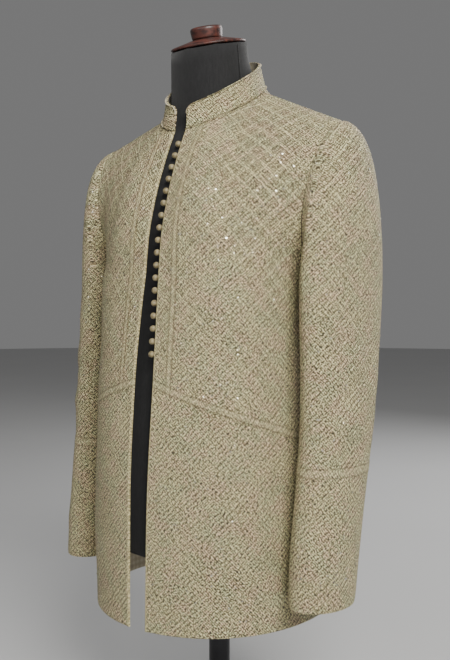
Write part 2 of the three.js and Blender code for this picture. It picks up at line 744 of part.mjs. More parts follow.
function formClearance(row, share) {
  const lower = FORM_HEIGHTS.length;
  if (row < lower) return FORM_CLEARANCE + (row === 0 ? FORM_BOTTOM_TUCK : 0);
  const t = smooth(YOKE_ROWS[row - lower]);
  return lerp(FORM_CLEARANCE, share > NECK_SHARE ? SHOULDER_CLEARANCE : NECK_CLEARANCE, t);
}

function insetForm(towardsFront, ridge) {
  const grid = formHalf(towardsFront);
  const normals = gridNormals(grid);
  const last = grid.length - 1;
  const shares = towardsFront ? FORM_SHARES : [...FORM_SHARES].reverse();
  return grid.map((row, r) => {
    const points = row.map(({ point }, c) => {
      const normal = normals[r][c].clone();
      if (shares[c] === 0) normal.setX(0).normalize();
      if (shares[c] === 1 && r < FORM_HEIGHTS.length) normal.set(1, 0, 0);
      if (r === last && shares[c] >= NECK_SHARE) normal.copy(ridge(shares[c]));
      const inset = point.clone().addScaledVector(normal, -(WALL + formClearance(r, shares[c])));
      if (shares[c] === 0) inset.x = 0;
      return inset;
    });
    if (r >= FORM_HEIGHTS.length) {
      const end = towardsFront ? points.length - 1 : 0;
      const next = towardsFront ? end - 1 : 1;
      points[end].lerp(points[next], 0.5);
    }
    return points;
  });
}

// Shoulder ridge normals shared by the front and back of the form
function ridgeNormals() {
  const front = gridNormals(formHalf(true)).pop();
  const back = gridNormals(formHalf(false)).pop().reverse();
  const normals = front.map((normal, i) => normal.clone().add(back[i]).normalize());
  return (share) => normals[FORM_SHARES.indexOf(share)];
}

function neckHalfRing(ring) {
  const front = FORM_SHARES.filter((share) => share <= NECK_SHARE).map((share) => {
    return neckPoint(lerp(0, SHOULDER_SEAM_ANGLE, share / NECK_SHARE), ring, ring.lift);
  });
  const back = FORM_SHARES.filter((share) => share < NECK_SHARE).reverse().map((share) => {
    return neckPoint(lerp(180, SHOULDER_SEAM_ANGLE, share / NECK_SHARE), ring, ring.lift);
  });
  const points = front.concat(back);
  points[0].x = 0;
  points[points.length - 1].x = 0;
  return points;
}

// Top ring of the neck, tilted forward
function neckTopRing() {
  const slope = Math.tan(THREE.MathUtils.degToRad(CAP_TILT));
  const { radius, centreY } = FORM_NECK;
  const base = neckHalfRing({ x: radius, y: radius, centreY, lift: 0 });
  base.forEach((point) => {
    point.z = FORM_NECK.topZ + (point.y - centreY) * slope;
  });
  return base;
}

function dressForm(group) {
  const ridge = ridgeNormals();
  const front = insetForm(true, ridge);
  const back = insetForm(false, ridge);
  const lastRow = front.length - 1;
  const rings = [...NECK_RINGS.map(neckHalfRing), neckTopRing()];
  const neckColumns = FORM_SHARES.filter((share) => share <= NECK_SHARE).length;
  for (let i = 0; i < neckColumns; i += 1) {
    front[lastRow][i] = rings[0][i];
    back[lastRow][back[lastRow].length - 1 - i] = rings[0][rings[0].length - 1 - i];
  }
  const positions = [];
  const triangle = (a, b, c) => {
    positions.push(...a.toArray(), ...b.toArray(), ...c.toArray());
    positions.push(-a.x, a.y, a.z, -c.x, c.y, c.z, -b.x, b.y, b.z);
  };
  const quad = (a, b, c, d) => {
    triangle(a, b, c);
    triangle(a, c, d);
  };
  const sheet = (rows) => {
    for (let r = 0; r < rows.length - 1; r += 1) {
      for (let c = 0; c < rows[r].length - 1; c += 1) {
        quad(rows[r][c], rows[r][c + 1], rows[r + 1][c + 1], rows[r + 1][c]);
      }
    }
  };
  sheet(front);
  sheet(back);
  sheet(front.map((row, r) => [row[row.length - 1], back[r][0]]).slice(FORM_HEIGHTS.length - 1));
  sheet(rings);
  const top = new THREE.Vector3(0, FORM_NECK.centreY, FORM_NECK.topZ);
  const topRing = rings[rings.length - 1];
  for (let i = 0; i < topRing.length - 1; i += 1) triangle(top, topRing[i], topRing[i + 1]);
  const bottom = new THREE.Vector3(0, 0, FORM_BOTTOM_Z);
  const bottomRing = front[0].concat(back[0].slice(1));
  for (let i = 0; i < bottomRing.length - 1; i += 1) triangle(bottom, bottomRing[i + 1], bottomRing[i]);
  group.add(finished(soupGeometry(dropFlat(positions)), 'form_torso', formCloth));
}

// Leaves out triangles that have two corners in one place, where front and back meet
function dropFlat(positions) {
  const kept = [];
  for (let i = 0; i < positions.length; i += 9) {
    const [a, b, c] = [0, 3, 6].map((k) => new THREE.Vector3(...positions.slice(i + k, i + k + 3)));
    const flat = a.distanceTo(b) < 1e-3 || b.distanceTo(c) < 1e-3 || c.distanceTo(a) < 1e-3;
    if (!flat) kept.push(...positions.slice(i, i + 9));
  }
  return kept;
}

// Turned neck cap: a dished flange with a knob on top, tilted with the neck
const FLANGE_PROFILE = [
  { radius: 0, height: 0 },
  { radius: 51, height: 0 },
  { radius: 53.6, height: 1.2 },
  { radius: 54, height: 2.8 },
  { radius: 52, height: 4.2 },
  { radius: 44, height: 6.2 },
  { radius: 33, height: 8.9 },
  { radius: 25, height: 11.1 },
  { radius: 22, height: 11.6 },
  { radius: 0, height: 11.6 },
];
const KNOB_PROFILE = [
  { radius: 0, height: 0 },
  { radius: 20.5, height: 0 },
  { radius: 21.6, height: 1.5 },
  { radius: 22, height: 4 },
  { radius: 22.6, height: 9 },
  { radius: 22.9, height: 13 },
  { radius: 22, height: 15.6 },
  { radius: 19.5, height: 16.7 },
  { radius: 0, height: 16.9 },
];

function turned(profile, segments) {
  const points = profile.map(({ radius, height }) => new THREE.Vector2(radius, height));
  const geometry = latheGeometry(points, segments);
  geometry.rotateX(Math.PI / 2);
  return geometry;
}

function neckCap(group) {
  const cap = new THREE.Group();
  cap.position.set(0, FORM_NECK.centreY, FORM_NECK.topZ);
  cap.rotation.x = THREE.MathUtils.degToRad(CAP_TILT);
  const flange = finished(turned(FLANGE_PROFILE, SEGMENTS.flange), 'neck_cap', wood);
  flange.position.z = REST_GAP;
  const knob = finished(turned(KNOB_PROFILE, SEGMENTS.knob), 'neck_knob', wood);
  knob.position.z = FLANGE_PROFILE[FLANGE_PROFILE.length - 1].height + 2 * REST_GAP;
  cap.add(flange, knob);
  group.add(cap);
}

// Stand: a pole under the form and a round base that rests on the floor
function stand(group) {
  const rim = BASE.rim;
  const base = [
    { radius: 0, height: 0 },
    { radius: BASE.radius, height: 0 },
    { radius: BASE.radius, height: BASE.thickness - rim },
    { radius: BASE.radius - rim, height: BASE.thickness },
    { radius: 0, height: BASE.thickness },
  ];
  group.add(finished(turned(base, SEGMENTS.base), 'stand_base', metal));
  const length = DATUM_Z + FORM_BOTTOM_Z - BASE.thickness - 2 * REST_GAP;
  const pole = [
    { radius: 0, height: 0 },
    { radius: POLE_RADIUS, height: 0 },
    { radius: POLE_RADIUS, height: length },
    { radius: 0, height: length },
  ];
  const mesh = finished(turned(pole, SEGMENTS.pole), 'stand_pole', metal);
  mesh.position.z = BASE.thickness + REST_GAP;
  group.add(mesh);
}

const group = new THREE.Group();
const worn = new THREE.Group();
worn.position.z = DATUM_Z;
jacket(worn);
buttons(worn);
dressForm(worn);
neckCap(worn);
group.add(worn);
stand(group);

export default group;
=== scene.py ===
"""Looks of an open-fronted bandhgala jacket worn by a limbless dress form on a plain stand.

Surface sizes are in millimetres above a datum that the stand lifts off the floor; meshes are in metres.
"""

import math
import random

import bmesh
import bpy
import numpy as np
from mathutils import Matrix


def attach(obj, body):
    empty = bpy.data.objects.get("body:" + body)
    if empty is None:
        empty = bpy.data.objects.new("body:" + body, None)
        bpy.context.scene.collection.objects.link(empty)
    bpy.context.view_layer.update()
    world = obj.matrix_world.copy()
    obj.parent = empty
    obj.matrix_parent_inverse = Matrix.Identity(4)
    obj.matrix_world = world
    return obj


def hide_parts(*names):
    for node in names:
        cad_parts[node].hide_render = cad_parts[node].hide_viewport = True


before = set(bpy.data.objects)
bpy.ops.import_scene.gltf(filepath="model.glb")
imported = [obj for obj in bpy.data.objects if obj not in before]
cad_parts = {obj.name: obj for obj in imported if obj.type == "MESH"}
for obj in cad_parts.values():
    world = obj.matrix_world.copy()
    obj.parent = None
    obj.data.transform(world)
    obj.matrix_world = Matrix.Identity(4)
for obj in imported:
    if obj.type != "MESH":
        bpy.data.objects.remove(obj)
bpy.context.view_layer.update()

DATUM_Z = 50.0
HEM_Z = 150.0
UNDERARM_Z = 605.0
SHOULDER_Z = 809.0
FRONT_NECK_Z = 802.0
NECK_RISE = 90.0
NECK_CURVE = 0.85
WAIST_SEAM_Z = 458.0
WAIST_SEAM_FALL = 83.75
SHOULDER_POINT = (197.0, 6.0)
ARMHOLE_HALF_DEPTH = 67.0
ARMHOLE_LEAN = 0.8
SHOULDER_SEAM_ANGLE = 112.0
NECK_SHARE = 0.48
ARMHOLE_ROUND = 1.2
FRONT_NECK_HALF_GAP = 10.0
WALL = 2.3
SEAM_GAP = 0.3

# Fullness of the chest and the shoulder blades over the straight patch
FULLNESS = 9.0
FULLNESS_SPREAD = 1.15

# Height, half width, depth in front, depth behind, squareness, half front gap
TORSO = np.array(
    [
        (150, 165, 179, 138, 2.1, 13.5),
        (275, 164, 178, 134, 2.2, 14.5),
        (360, 161, 175, 128, 2.3, 15.5),
        (458, 156.5, 167, 118, 2.5, 16),
        (500, 155.5, 163, 116, 2.5, 15.5),
        (575, 157, 154, 124, 2.6, 13),
        (605, 158, 150, 128, 2.6, 11.5),
    ],
    float,
)
SIDE, FRONT, BACK, SQUARE, EDGE = 1, 2, 3, 4, 5

# Height, x and y of the front edge and of the centre back above the underarm
FRONT_EDGE = [(605, 11.5, -150), (660, 11, -143), (706, 10.5, -131), (738, 10.2, -120), (772, 10, -106)]
CENTRE_BACK = [(605, 0, 128), (680, 0, 132), (750, 0, 126), (820, 0, 108), (862, 0, 88)]

# Half width, half depth and centre of the rings round the neck
NECK_RING = (71.0, 80.0, -12.0)
COLLAR_RING = (62.5, 74.0, -14.0)
COLLAR_HEIGHT = 35.0
COLLAR_CORNER = 11.0

# Height, centre x and y, half thickness, half depth, strength of the soft folds
SLEEVE = np.array(
    [
        (190, 199, -52, 36, 50, 0),
        (248, 199.5, -45, 36.5, 53.5, 0.1),
        (317, 201.5, -35, 37, 55, 0.3),
        (367, 203, -27, 37, 57.5, 0.6),
        (418, 204.8, -21, 37.5, 60.5, 1),
        (460, 204.8, -16, 38, 64, 1),
        (503, 204, -12, 38, 67, 1),
        (545, 202.6, -8, 38, 70, 0.6),
        (588, 201.5, -4, 38, 73, 0),
    ],
    float,
)
SLEEVE_TURN = math.radians(10)
SLEEVE_TOP_Z = 588.0
SLEEVE_BOTTOM_Z = 190.0
FOLD_DEPTH = 2.2
FOLD_PITCH = 74.0
FOLD_TWIST = 26.0
FOLD_BACK_SHARE = 0.35

# Sleeve head: handles of its curves at the top, the side and the bottom of the armhole
HEAD_REACH = (31.0, 17.0, 8.0)
HEAD_DROP = (0.8, 0.62, 0.3)
HEAD_LEAN_FORWARD = 0.45
HEAD_LEAN_DOWN = 0.12
HEAD_LEAN_UNDER = 0.35

# Armhole: shares of its half at the steps of the sleeve's columns, and the step of the two sleeve seams
ARMHOLE_STEPS = [0, 0.1, 0.2, 0.31, 0.42, 0.53, 0.64, 0.74, 0.84, 0.93, 1]
HALF_STEPS = len(ARMHOLE_STEPS) - 1
SEAM_STEPS = 4

# Raised work: the front's edge strip and border as shares of the panel's width, the waist band in mm
# above the waist seam, the forearm band as heights and the collar's line as shares of its height
EDGE_STRIP = 0.022
BORDER = (0.082, 0.116)
WAIST_BAND = (2.5, 12.5)
FOREARM_BAND = (352.0, 364.0)
COLLAR_BAND = (0.67, 0.79)
STRIP_RELIEF = 0.9
BAND_RELIEF = 0.6
COLLAR_RELIEF = 0.35

# Widths of the slopes at their edges, in the same units
STRIP_SLOPE = 0.008
BORDER_SLOPE = 0.012
WAIST_SLOPE = 1.6
FOREARM_SLOPE = 2.0
COLLAR_SLOPE = 0.05


def smooth(t):
    t = np.clip(t, 0, 1)
    return t * t * (3 - 2 * t)


def step(x, at, width):
    """Rises smoothly from 0 to 1 as x passes at."""
    return smooth((x - at) / width + 0.5)


def table_value(table, column, z):
    """One column of a table at heights z, by Catmull-Rom between its rows."""
    table = np.asarray(table, float)
    heights = table[:, 0]
    values = table[:, column]
    last = len(heights) - 1
    z = np.clip(z, heights[0], heights[last])
    i = np.clip(np.searchsorted(heights, z, side="right") - 1, 0, last - 1)
    before = np.maximum(i - 1, 0)
    after = np.minimum(i + 2, last)
    span = heights[i + 1] - heights[i]
    t = (z - heights[i]) / span
    slope_a = (values[i + 1] - values[before]) / (heights[i + 1] - heights[before]) * span
    slope_b = (values[after] - values[i]) / (heights[after] - heights[i]) * span
    t2, t3 = t * t, t * t * t
    low = (2 * t3 - 3 * t2 + 1) * values[i] + (t3 - 2 * t2 + t) * slope_a
    return low + (3 * t2 - 2 * t3) * values[i + 1] + (t3 - t2) * slope_b


def along(points, share):
    """Points at shares of each polyline's length; points is (..., n, 3) and share is (...)."""
    steps = np.linalg.norm(np.diff(points, axis=-2), axis=-1)
    lengths = np.concatenate([np.zeros(steps.shape[:-1] + (1,)), np.cumsum(steps, axis=-1)], axis=-1)
    target = share * lengths[..., -1]
    i = np.clip((lengths < target[..., None]).sum(axis=-1), 1, points.shape[-2] - 1)
    low = np.take_along_axis(lengths, (i - 1)[..., None], axis=-1)[..., 0]
    high = np.take_along_axis(lengths, i[..., None], axis=-1)[..., 0]
    t = ((target - low) / np.maximum(high - low, 1e-9))[..., None]
    a = np.take_along_axis(points, (i - 1)[..., None, None], axis=-2)[..., 0, :]
    b = np.take_along_axis(points, i[..., None, None], axis=-2)[..., 0, :]
    return a + (b - a) * t


ARC_POINTS = 65
MIDDLE_LINE_POINTS = 41


def torso_point(z, share, front):
    """Left half of the torso's section, from the front edge or the centre back to the side."""
    z, share = np.broadcast_arrays(np.asarray(z, float), np.asarray(share, float))
    side = table_value(TORSO, SIDE, z)
    depth = table_value(TORSO, FRONT if front else BACK, z)
    power = 2 / table_value(TORSO, SQUARE, z)
    edge = table_value(TORSO, EDGE, z) if front else np.zeros_like(z)
    start = np.arcsin((edge / side) ** (1 / power))
    steps = np.linspace(0, 1, ARC_POINTS)
    angle = start[..., None] + (math.pi / 2 - start[..., None]) * steps
    x = side[..., None] * np.sin(angle) ** power[..., None]
    y = depth[..., None] * np.clip(np.cos(angle), 0, 1) ** power[..., None]
    arc = np.stack([x, -y if front else y, np.broadcast_to(z[..., None], x.shape)], axis=-1)
    return along(arc, share)


def waist_seam_z(share):
    """Height of the waist seam, which falls from the front edge to the side seam."""
    return WAIST_SEAM_Z - WAIST_SEAM_FALL * share


def neck_point(degrees, ring=NECK_RING, lift=0.0):
    """Point on a ring round the neck, counted in degrees from the front."""
    angle = np.radians(degrees)
    rise = NECK_RISE * (np.sin(angle / 2) ** 2) ** NECK_CURVE
    x = ring[0] * np.sin(angle)
    y = ring[2] - ring[1] * np.cos(angle)
    return np.stack([x, y, FRONT_NECK_Z + rise + lift], axis=-1)


FRONT_NECK_ANGLE = math.degrees(math.asin(FRONT_NECK_HALF_GAP / NECK_RING[0]))


def armhole_point(v, front):
    """Armhole edge, from the underarm at v = 0 to the shoulder point at v = 1."""
    turn = math.pi * (1 - np.asarray(v, float))
    middle = (SHOULDER_Z + UNDERARM_Z) / 2
    z = middle + (SHOULDER_Z - middle) * np.cos(turn)
    rise = np.clip((z - UNDERARM_Z) / (SHOULDER_Z - UNDERARM_Z), 0, 1)
    side = TORSO[-1, SIDE]
    x = side + (SHOULDER_POINT[0] - side) * rise**ARMHOLE_LEAN
    depth = ARMHOLE_HALF_DEPTH * np.abs(np.sin(turn)) ** ARMHOLE_ROUND
    y = SHOULDER_POINT[1] * rise + (-depth if front else depth)
    return np.stack([x, y, z], axis=-1)


def top_point(share, front):
    """Upper edge of a front or back panel: neck seam, then shoulder seam."""
    share = np.asarray(share, float)
    start = FRONT_NECK_ANGLE if front else 180.0
    neck = neck_point(start + (SHOULDER_SEAM_ANGLE - start) * np.clip(share / NECK_SHARE, 0, 1))
    end = neck_point(np.asarray(SHOULDER_SEAM_ANGLE))
    tip = np.array([*SHOULDER_POINT, SHOULDER_Z])
    t = np.clip((share - NECK_SHARE) / (1 - NECK_SHARE), 0, 1)[..., None]
    shoulder = end + (tip - end) * t
    return np.where((share <= NECK_SHARE)[..., None], neck, shoulder)


def middle_line(v, front):
    """Front edge or centre back above the underarm, at shares v of its length."""
    top = top_point(np.asarray(0.0), front)
    rows = [*(FRONT_EDGE if front else CENTRE_BACK), (top[2], top[0], top[1])]
    z = np.linspace(UNDERARM_Z, top[2], MIDDLE_LINE_POINTS)
    points = np.stack([table_value(rows, 1, z), table_value(rows, 2, z), z], axis=-1)
    v = np.asarray(v, float)
    return along(np.broadcast_to(points, v.shape + points.shape), v)


def yoke_point(u, v, front):
    """Coons patch between the underarm level, the armhole, the shoulder and the neck."""
    u, v = np.broadcast_arrays(np.asarray(u, float), np.asarray(v, float))
    a, b = u[..., None], v[..., None]
    corner = [
        torso_point(UNDERARM_Z, 0.0, front),
        torso_point(UNDERARM_Z, 1.0, front),
        top_point(0.0, front),
        top_point(1.0, front),
    ]
    point = torso_point(UNDERARM_Z, u, front) * (1 - b) + top_point(u, front) * b
    point = point + middle_line(v, front) * (1 - a) + armhole_point(v, front) * a
    point = point - corner[0] * (1 - a) * (1 - b) - corner[1] * a * (1 - b)
    point = point - corner[2] * (1 - a) * b - corner[3] * a * b
    fullness = np.sin(math.pi * v) * np.sin(math.pi * np.minimum(u * FULLNESS_SPREAD, 1))
    point[..., 1] += (-FULLNESS if front else FULLNESS) * fullness
    return point


def sleeve_ring(z, angle):
    """Sleeve section at a height; the angle runs from the outer side towards the front."""
    x0, y0, thick, deep, fold = (table_value(SLEEVE, k, z) for k in range(1, 6))
    outer = np.clip(np.cos(angle), 0, 1)
    crease = np.sin(2 * math.pi * (z + FOLD_TWIST * np.sin(angle)) / FOLD_PITCH)
    strength = FOLD_BACK_SHARE + (1 - FOLD_BACK_SHARE) * np.sin(angle)
    dent = FOLD_DEPTH * fold * crease * strength * outer
    across = thick * np.cos(angle) - dent
    run = -deep * np.sin(angle)
    x = x0 + across * math.cos(SLEEVE_TURN) + run * math.sin(SLEEVE_TURN)
    y = y0 - across * math.sin(SLEEVE_TURN) + run * math.cos(SLEEVE_TURN)
    return np.stack([x, y, np.broadcast_to(z, x.shape)], axis=-1)


def sleeve_weight(angle, values):
    """Eased value between the top, the side and the bottom of the armhole."""
    up = np.cos(angle)
    top = values[1] + (values[0] - values[1]) * smooth(up)
    bottom = values[1] + (values[2] - values[1]) * smooth(-up)
    return np.where(up > 0, top, bottom)


SLEEVE_ROWS = 96
HEAD_ROWS = 40


def sleeve_grid(first, last, columns):
    """Rows from the cuff up to the armhole; columns counted round from the underarm to the front."""
    wrapped = np.mod(np.linspace(first, last, columns), 2 * HALF_STEPS)
    is_front = wrapped <= HALF_STEPS
    from_underarm = np.where(is_front, wrapped, 2 * HALF_STEPS - wrapped)
    v = np.interp(from_underarm, np.arange(HALF_STEPS + 1), ARMHOLE_STEPS)
    start = np.where(is_front[:, None], armhole_point(v, True), armhole_point(v, False))
    angle = math.pi - math.pi * wrapped / HALF_STEPS
    end = sleeve_ring(np.full_like(angle, SLEEVE_TOP_Z), angle)
    fall = np.clip(-np.cos(angle), 0, 1)
    down = -HEAD_LEAN_DOWN - HEAD_LEAN_UNDER * fall
    out = np.stack([np.ones_like(angle), -HEAD_LEAN_FORWARD * np.sin(angle), down], axis=-1)
    out /= np.linalg.norm(out, axis=-1, keepdims=True)
    handle_a = start + out * sleeve_weight(angle, HEAD_REACH)[:, None]
    handle_b = end.copy()
    handle_b[:, 2] += sleeve_weight(angle, HEAD_DROP) * (start[:, 2] - end[:, 2])
    heights = np.linspace(SLEEVE_BOTTOM_Z, SLEEVE_TOP_Z, SLEEVE_ROWS)
    rows = [sleeve_ring(np.full_like(angle, z), angle) for z in heights]
    for t in np.linspace(1, 0, HEAD_ROWS)[1:]:
        s = 1 - t
        rows.append(s**3 * start + 3 * s * s * t * handle_a + 3 * s * t * t * handle_b + t**3 * end)
    return np.array(rows)


FINE_SHARES = (0.0, 0.0025, 0.007)
FIRST_INNER_SHARE = 0.014


def spaced(count, fine=FINE_SHARES):
    """Shares from 0 to 1, closer together at both ends, where the cloth's edge is rounded."""
    inner = np.linspace(FIRST_INNER_SHARE, 1 - FIRST_INNER_SHARE, count)
    return np.concatenate([fine, inner, 1 - np.array(fine[::-1])])


BODY_U = spaced(92)
FINE = len(FINE_SHARES)
SKIRT_ROWS = 62
UPPER_ROWS = 34
FRONT_YOKE_ROWS = 50
BACK_ROWS = 92
BACK_YOKE_ROWS = 54


def front_skirt():
    t = spaced(SKIRT_ROWS)[:, None]
    z = HEM_Z + (waist_seam_z(BODY_U)[None, :] - HEM_Z) * t
    return torso_point(z, np.broadcast_to(BODY_U, z.shape), True)


def front_upper():
    t = spaced(UPPER_ROWS)[:-FINE, None]
    low = waist_seam_z(BODY_U)[None, :]
    z = low + (UNDERARM_Z - low) * t
    body = torso_point(z, np.broadcast_to(BODY_U, z.shape), True)
    v = spaced(FRONT_YOKE_ROWS)[FINE:, None]
    yoke = yoke_point(BODY_U[None, :], v, True)
    return np.concatenate([body, yoke])


def back_panel():
    z = HEM_Z + (UNDERARM_Z - HEM_Z) * spaced(BACK_ROWS)[:-FINE, None]
    body = torso_point(z, np.broadcast_to(BODY_U, (len(z), len(BODY_U))), False)
    v = np.linspace(0, 1, BACK_YOKE_ROWS)[1:, None]
    yoke = yoke_point(BODY_U[None, :], v, False)
    return np.concatenate([body, yoke])[:, ::-1]


COLLAR_COLUMNS = 190
COLLAR_ROWS = 22
COLLAR_FINE_TURN = (0.0, 0.002, 0.005)
COLLAR_FINE_LEVEL = (0.0, 0.02, 0.05)


def collar():
    """Rows from the neck seam up; columns round the neck, with the two front corners cut round."""
    turn = FRONT_NECK_ANGLE + (360 - 2 * FRONT_NECK_ANGLE) * spaced(COLLAR_COLUMNS, COLLAR_FINE_TURN)
    level = spaced(COLLAR_ROWS, COLLAR_FINE_LEVEL)[:, None]
    base = neck_point(turn)
    top = neck_point(turn, COLLAR_RING, COLLAR_HEIGHT)
    run = np.radians(np.minimum(turn, 360 - turn) - FRONT_NECK_ANGLE) * NECK_RING[1]
    near = np.clip(1 - run / COLLAR_CORNER, 0, 1)
    cut = COLLAR_CORNER * (1 - np.sqrt(np.clip(1 - near * near, 0, 1))) / COLLAR_HEIGHT
    share = (level * (1 - cut))[..., None]
    return base + (top - base) * share


def mirrored(grid):
    """The other side's grid, with its columns turned round so that its outer face stays outside."""
    return grid[:, ::-1] * np.array([-1.0, 1.0, 1.0])


def grid_normals(grid):
    """Unit normals; rows go up and columns go left to right seen from outside."""
    across = np.gradient(grid, axis=1)
    rise = np.gradient(grid, axis=0)
    normals = np.cross(across, rise)
    return normals / np.maximum(np.linalg.norm(normals, axis=-1, keepdims=True), 1e-9)


# Soft troughs (negative) and ridges: ends of the line, half width and height, on the left side
CREASES_LEFT = [
    ((168, -112, 596), (128, -140, 520), 15, -1.6),
    ((150, -132, 640), (118, -152, 575), 18, 1.0),
    ((160, 86, 610), (118, 118, 520), 18, -1.8),
    ((150, 104, 700), (140, 112, 560), 22, 1.4),
    ((104, 122, 690), (98, 118, 500), 24, -1.4),
    ((44, 132, 560), (52, 130, 330), 26, 1.1),
    ((120, -118, 350), (134, -108, 200), 26, 1.2),
    ((66, -164, 330), (60, -170, 170), 30, -0.9),
    ((24, 138, 300), (30, 138, 160), 20, -1.2),
    ((96, 110, 380), (104, 112, 190), 24, -1.4),
    ((200, -74, 470), (236, -44, 440), 12, -1.5),
    ((190, -80, 430), (228, -66, 408), 11, 1.0),
    ((206, -72, 398), (238, -30, 384), 12, -1.1),
    ((236, 6, 560), (242, -10, 470), 14, -1.0),
    ((214, 50, 520), (232, 34, 440), 14, -1.4),
    ((196, 44, 480), (222, 44, 420), 12, 1.1),
    ((236, -62, 300), (232, -84, 220), 16, 0.9),
    ((184, 66, 620), (204, 62, 560), 13, -1.6),
    ((228, 22, 700), (236, 26, 610), 20, 0.8),
]
CREASES_RIGHT = [
    ((-170, -108, 590), (-126, -142, 508), 16, -1.8),
    ((-146, -134, 650), (-112, -154, 580), 18, 1.1),
    ((-158, 90, 604), (-112, 120, 530), 18, -1.6),
    ((-146, 106, 690), (-138, 112, 548), 22, 1.3),
    ((-98, 124, 700), (-92, 120, 512), 24, -1.2),
    ((-58, 130, 520), (-60, 130, 320), 26, 1.0),
    ((-116, -120, 340), (-130, -110, 190), 26, 1.3),
    ((-70, -162, 320), (-64, -168, 180), 30, -1.0),
    ((-26, 138, 310), (-34, 138, 170), 20, -1.1),
    ((-100, 108, 370), (-106, 112, 200), 24, -1.3),
    ((-198, -76, 480), (-234, -50, 452), 12, -1.4),
    ((-192, -80, 436), (-230, -64, 416), 11, 1.1),
    ((-208, -72, 404), (-238, -28, 392), 12, -1.2),
    ((-236, 10, 566), (-242, -12, 486), 14, -1.1),
    ((-212, 52, 512), (-234, 32, 430), 14, -1.3),
    ((-198, 44, 470), (-224, 42, 412), 12, 1.0),
    ((-236, -58, 310), (-232, -80, 230), 16, 1.0),
    ((-186, 66, 614), (-206, 62, 552), 13, -1.5),
    ((-228, 20, 706), (-236, 28, 620), 20, 0.9),
]


CREASE_SCALE = 1.7
CREASE_WANDER = 0.25
CREASE_UNEVEN = 0.25
CREASE_FULL_HALF = 0.32
CREASE_FADE = 0.3


def crease_height(points, creases):
    """Sum of uneven soft troughs and ridges at each point; each wanders and fades out at its ends."""
    total = np.zeros(points.shape[:-1])
    for k, (start, end, width, height) in enumerate(creases):
        a, b = np.array(start, float), np.array(end, float)
        line = b - a
        length = np.linalg.norm(line)
        t = ((points - a) @ line) / length**2
        on_line = np.clip(t, 0, 1)
        distance = np.linalg.norm(points - a - on_line[..., None] * line, axis=-1)
        wander = CREASE_WANDER * width * np.sin(2.6 * on_line * math.pi + k)
        gap = distance + wander * smooth(distance / width)
        past_middle = np.clip(np.abs(t - 0.5) - CREASE_FULL_HALF, 0, None)
        fade = np.exp(-((past_middle / CREASE_FADE) ** 2))
        uneven = 1 + CREASE_UNEVEN * np.sin(7 * t + 1.7 * k)
        total += CREASE_SCALE * height * uneven * fade * np.exp(-((gap / width) ** 2))
    return total


EDGE_ROUND = 0.8
EDGE_DROPS = (1.0, 0.4, 0.08)


def edge_drop(rows, columns):
    """Rounds the cloth at its edges and lets it dip into its seams."""
    drop = np.zeros((rows, columns))
    for k, amount in enumerate(EDGE_DROPS):
        for index in (k, -1 - k):
            drop[index, :] = np.maximum(drop[index, :], amount)
            drop[:, index] = np.maximum(drop[:, index], amount)
    return drop * EDGE_ROUND


def real_uv(grid, origin_column):
    """Lengths along the cloth in metres, from the origin column and the lowest row."""
    across = np.linalg.norm(np.diff(grid, axis=1), axis=-1)
    u = np.concatenate([np.zeros((len(grid), 1)), np.cumsum(across, axis=1)], axis=1)
    u -= u[:, origin_column][:, None]
    rise = np.linalg.norm(np.diff(grid, axis=0), axis=-1)
    v = np.concatenate([np.zeros((1, grid.shape[1])), np.cumsum(rise, axis=0)], axis=0)
    return np.stack([u, v], axis=-1) / 1000


def spring_pairs(rows, columns):
    """Neighbours along rows, columns and both diagonals of a grid, as pairs of indices."""
    index = np.arange(rows * columns).reshape(rows, columns)
    pairs = [(index[:, :-1], index[:, 1:]), (index[:-1], index[1:])]
    pairs += [(index[:-1, :-1], index[1:, 1:]), (index[:-1, 1:], index[1:, :-1])]
    pairs += [(index[:, :-2], index[:, 2:]), (index[:-2], index[2:])]
    first = np.concatenate([a.reshape(-1) for a, _ in pairs])
    second = np.concatenate([b.reshape(-1) for _, b in pairs])
    return first, second


NET_ROWS = 22
NET_COLUMNS = 18
SPRING_ROUNDS = 1500
SPRING_KEEP = 0.93
SPRING_STEP = 1.2


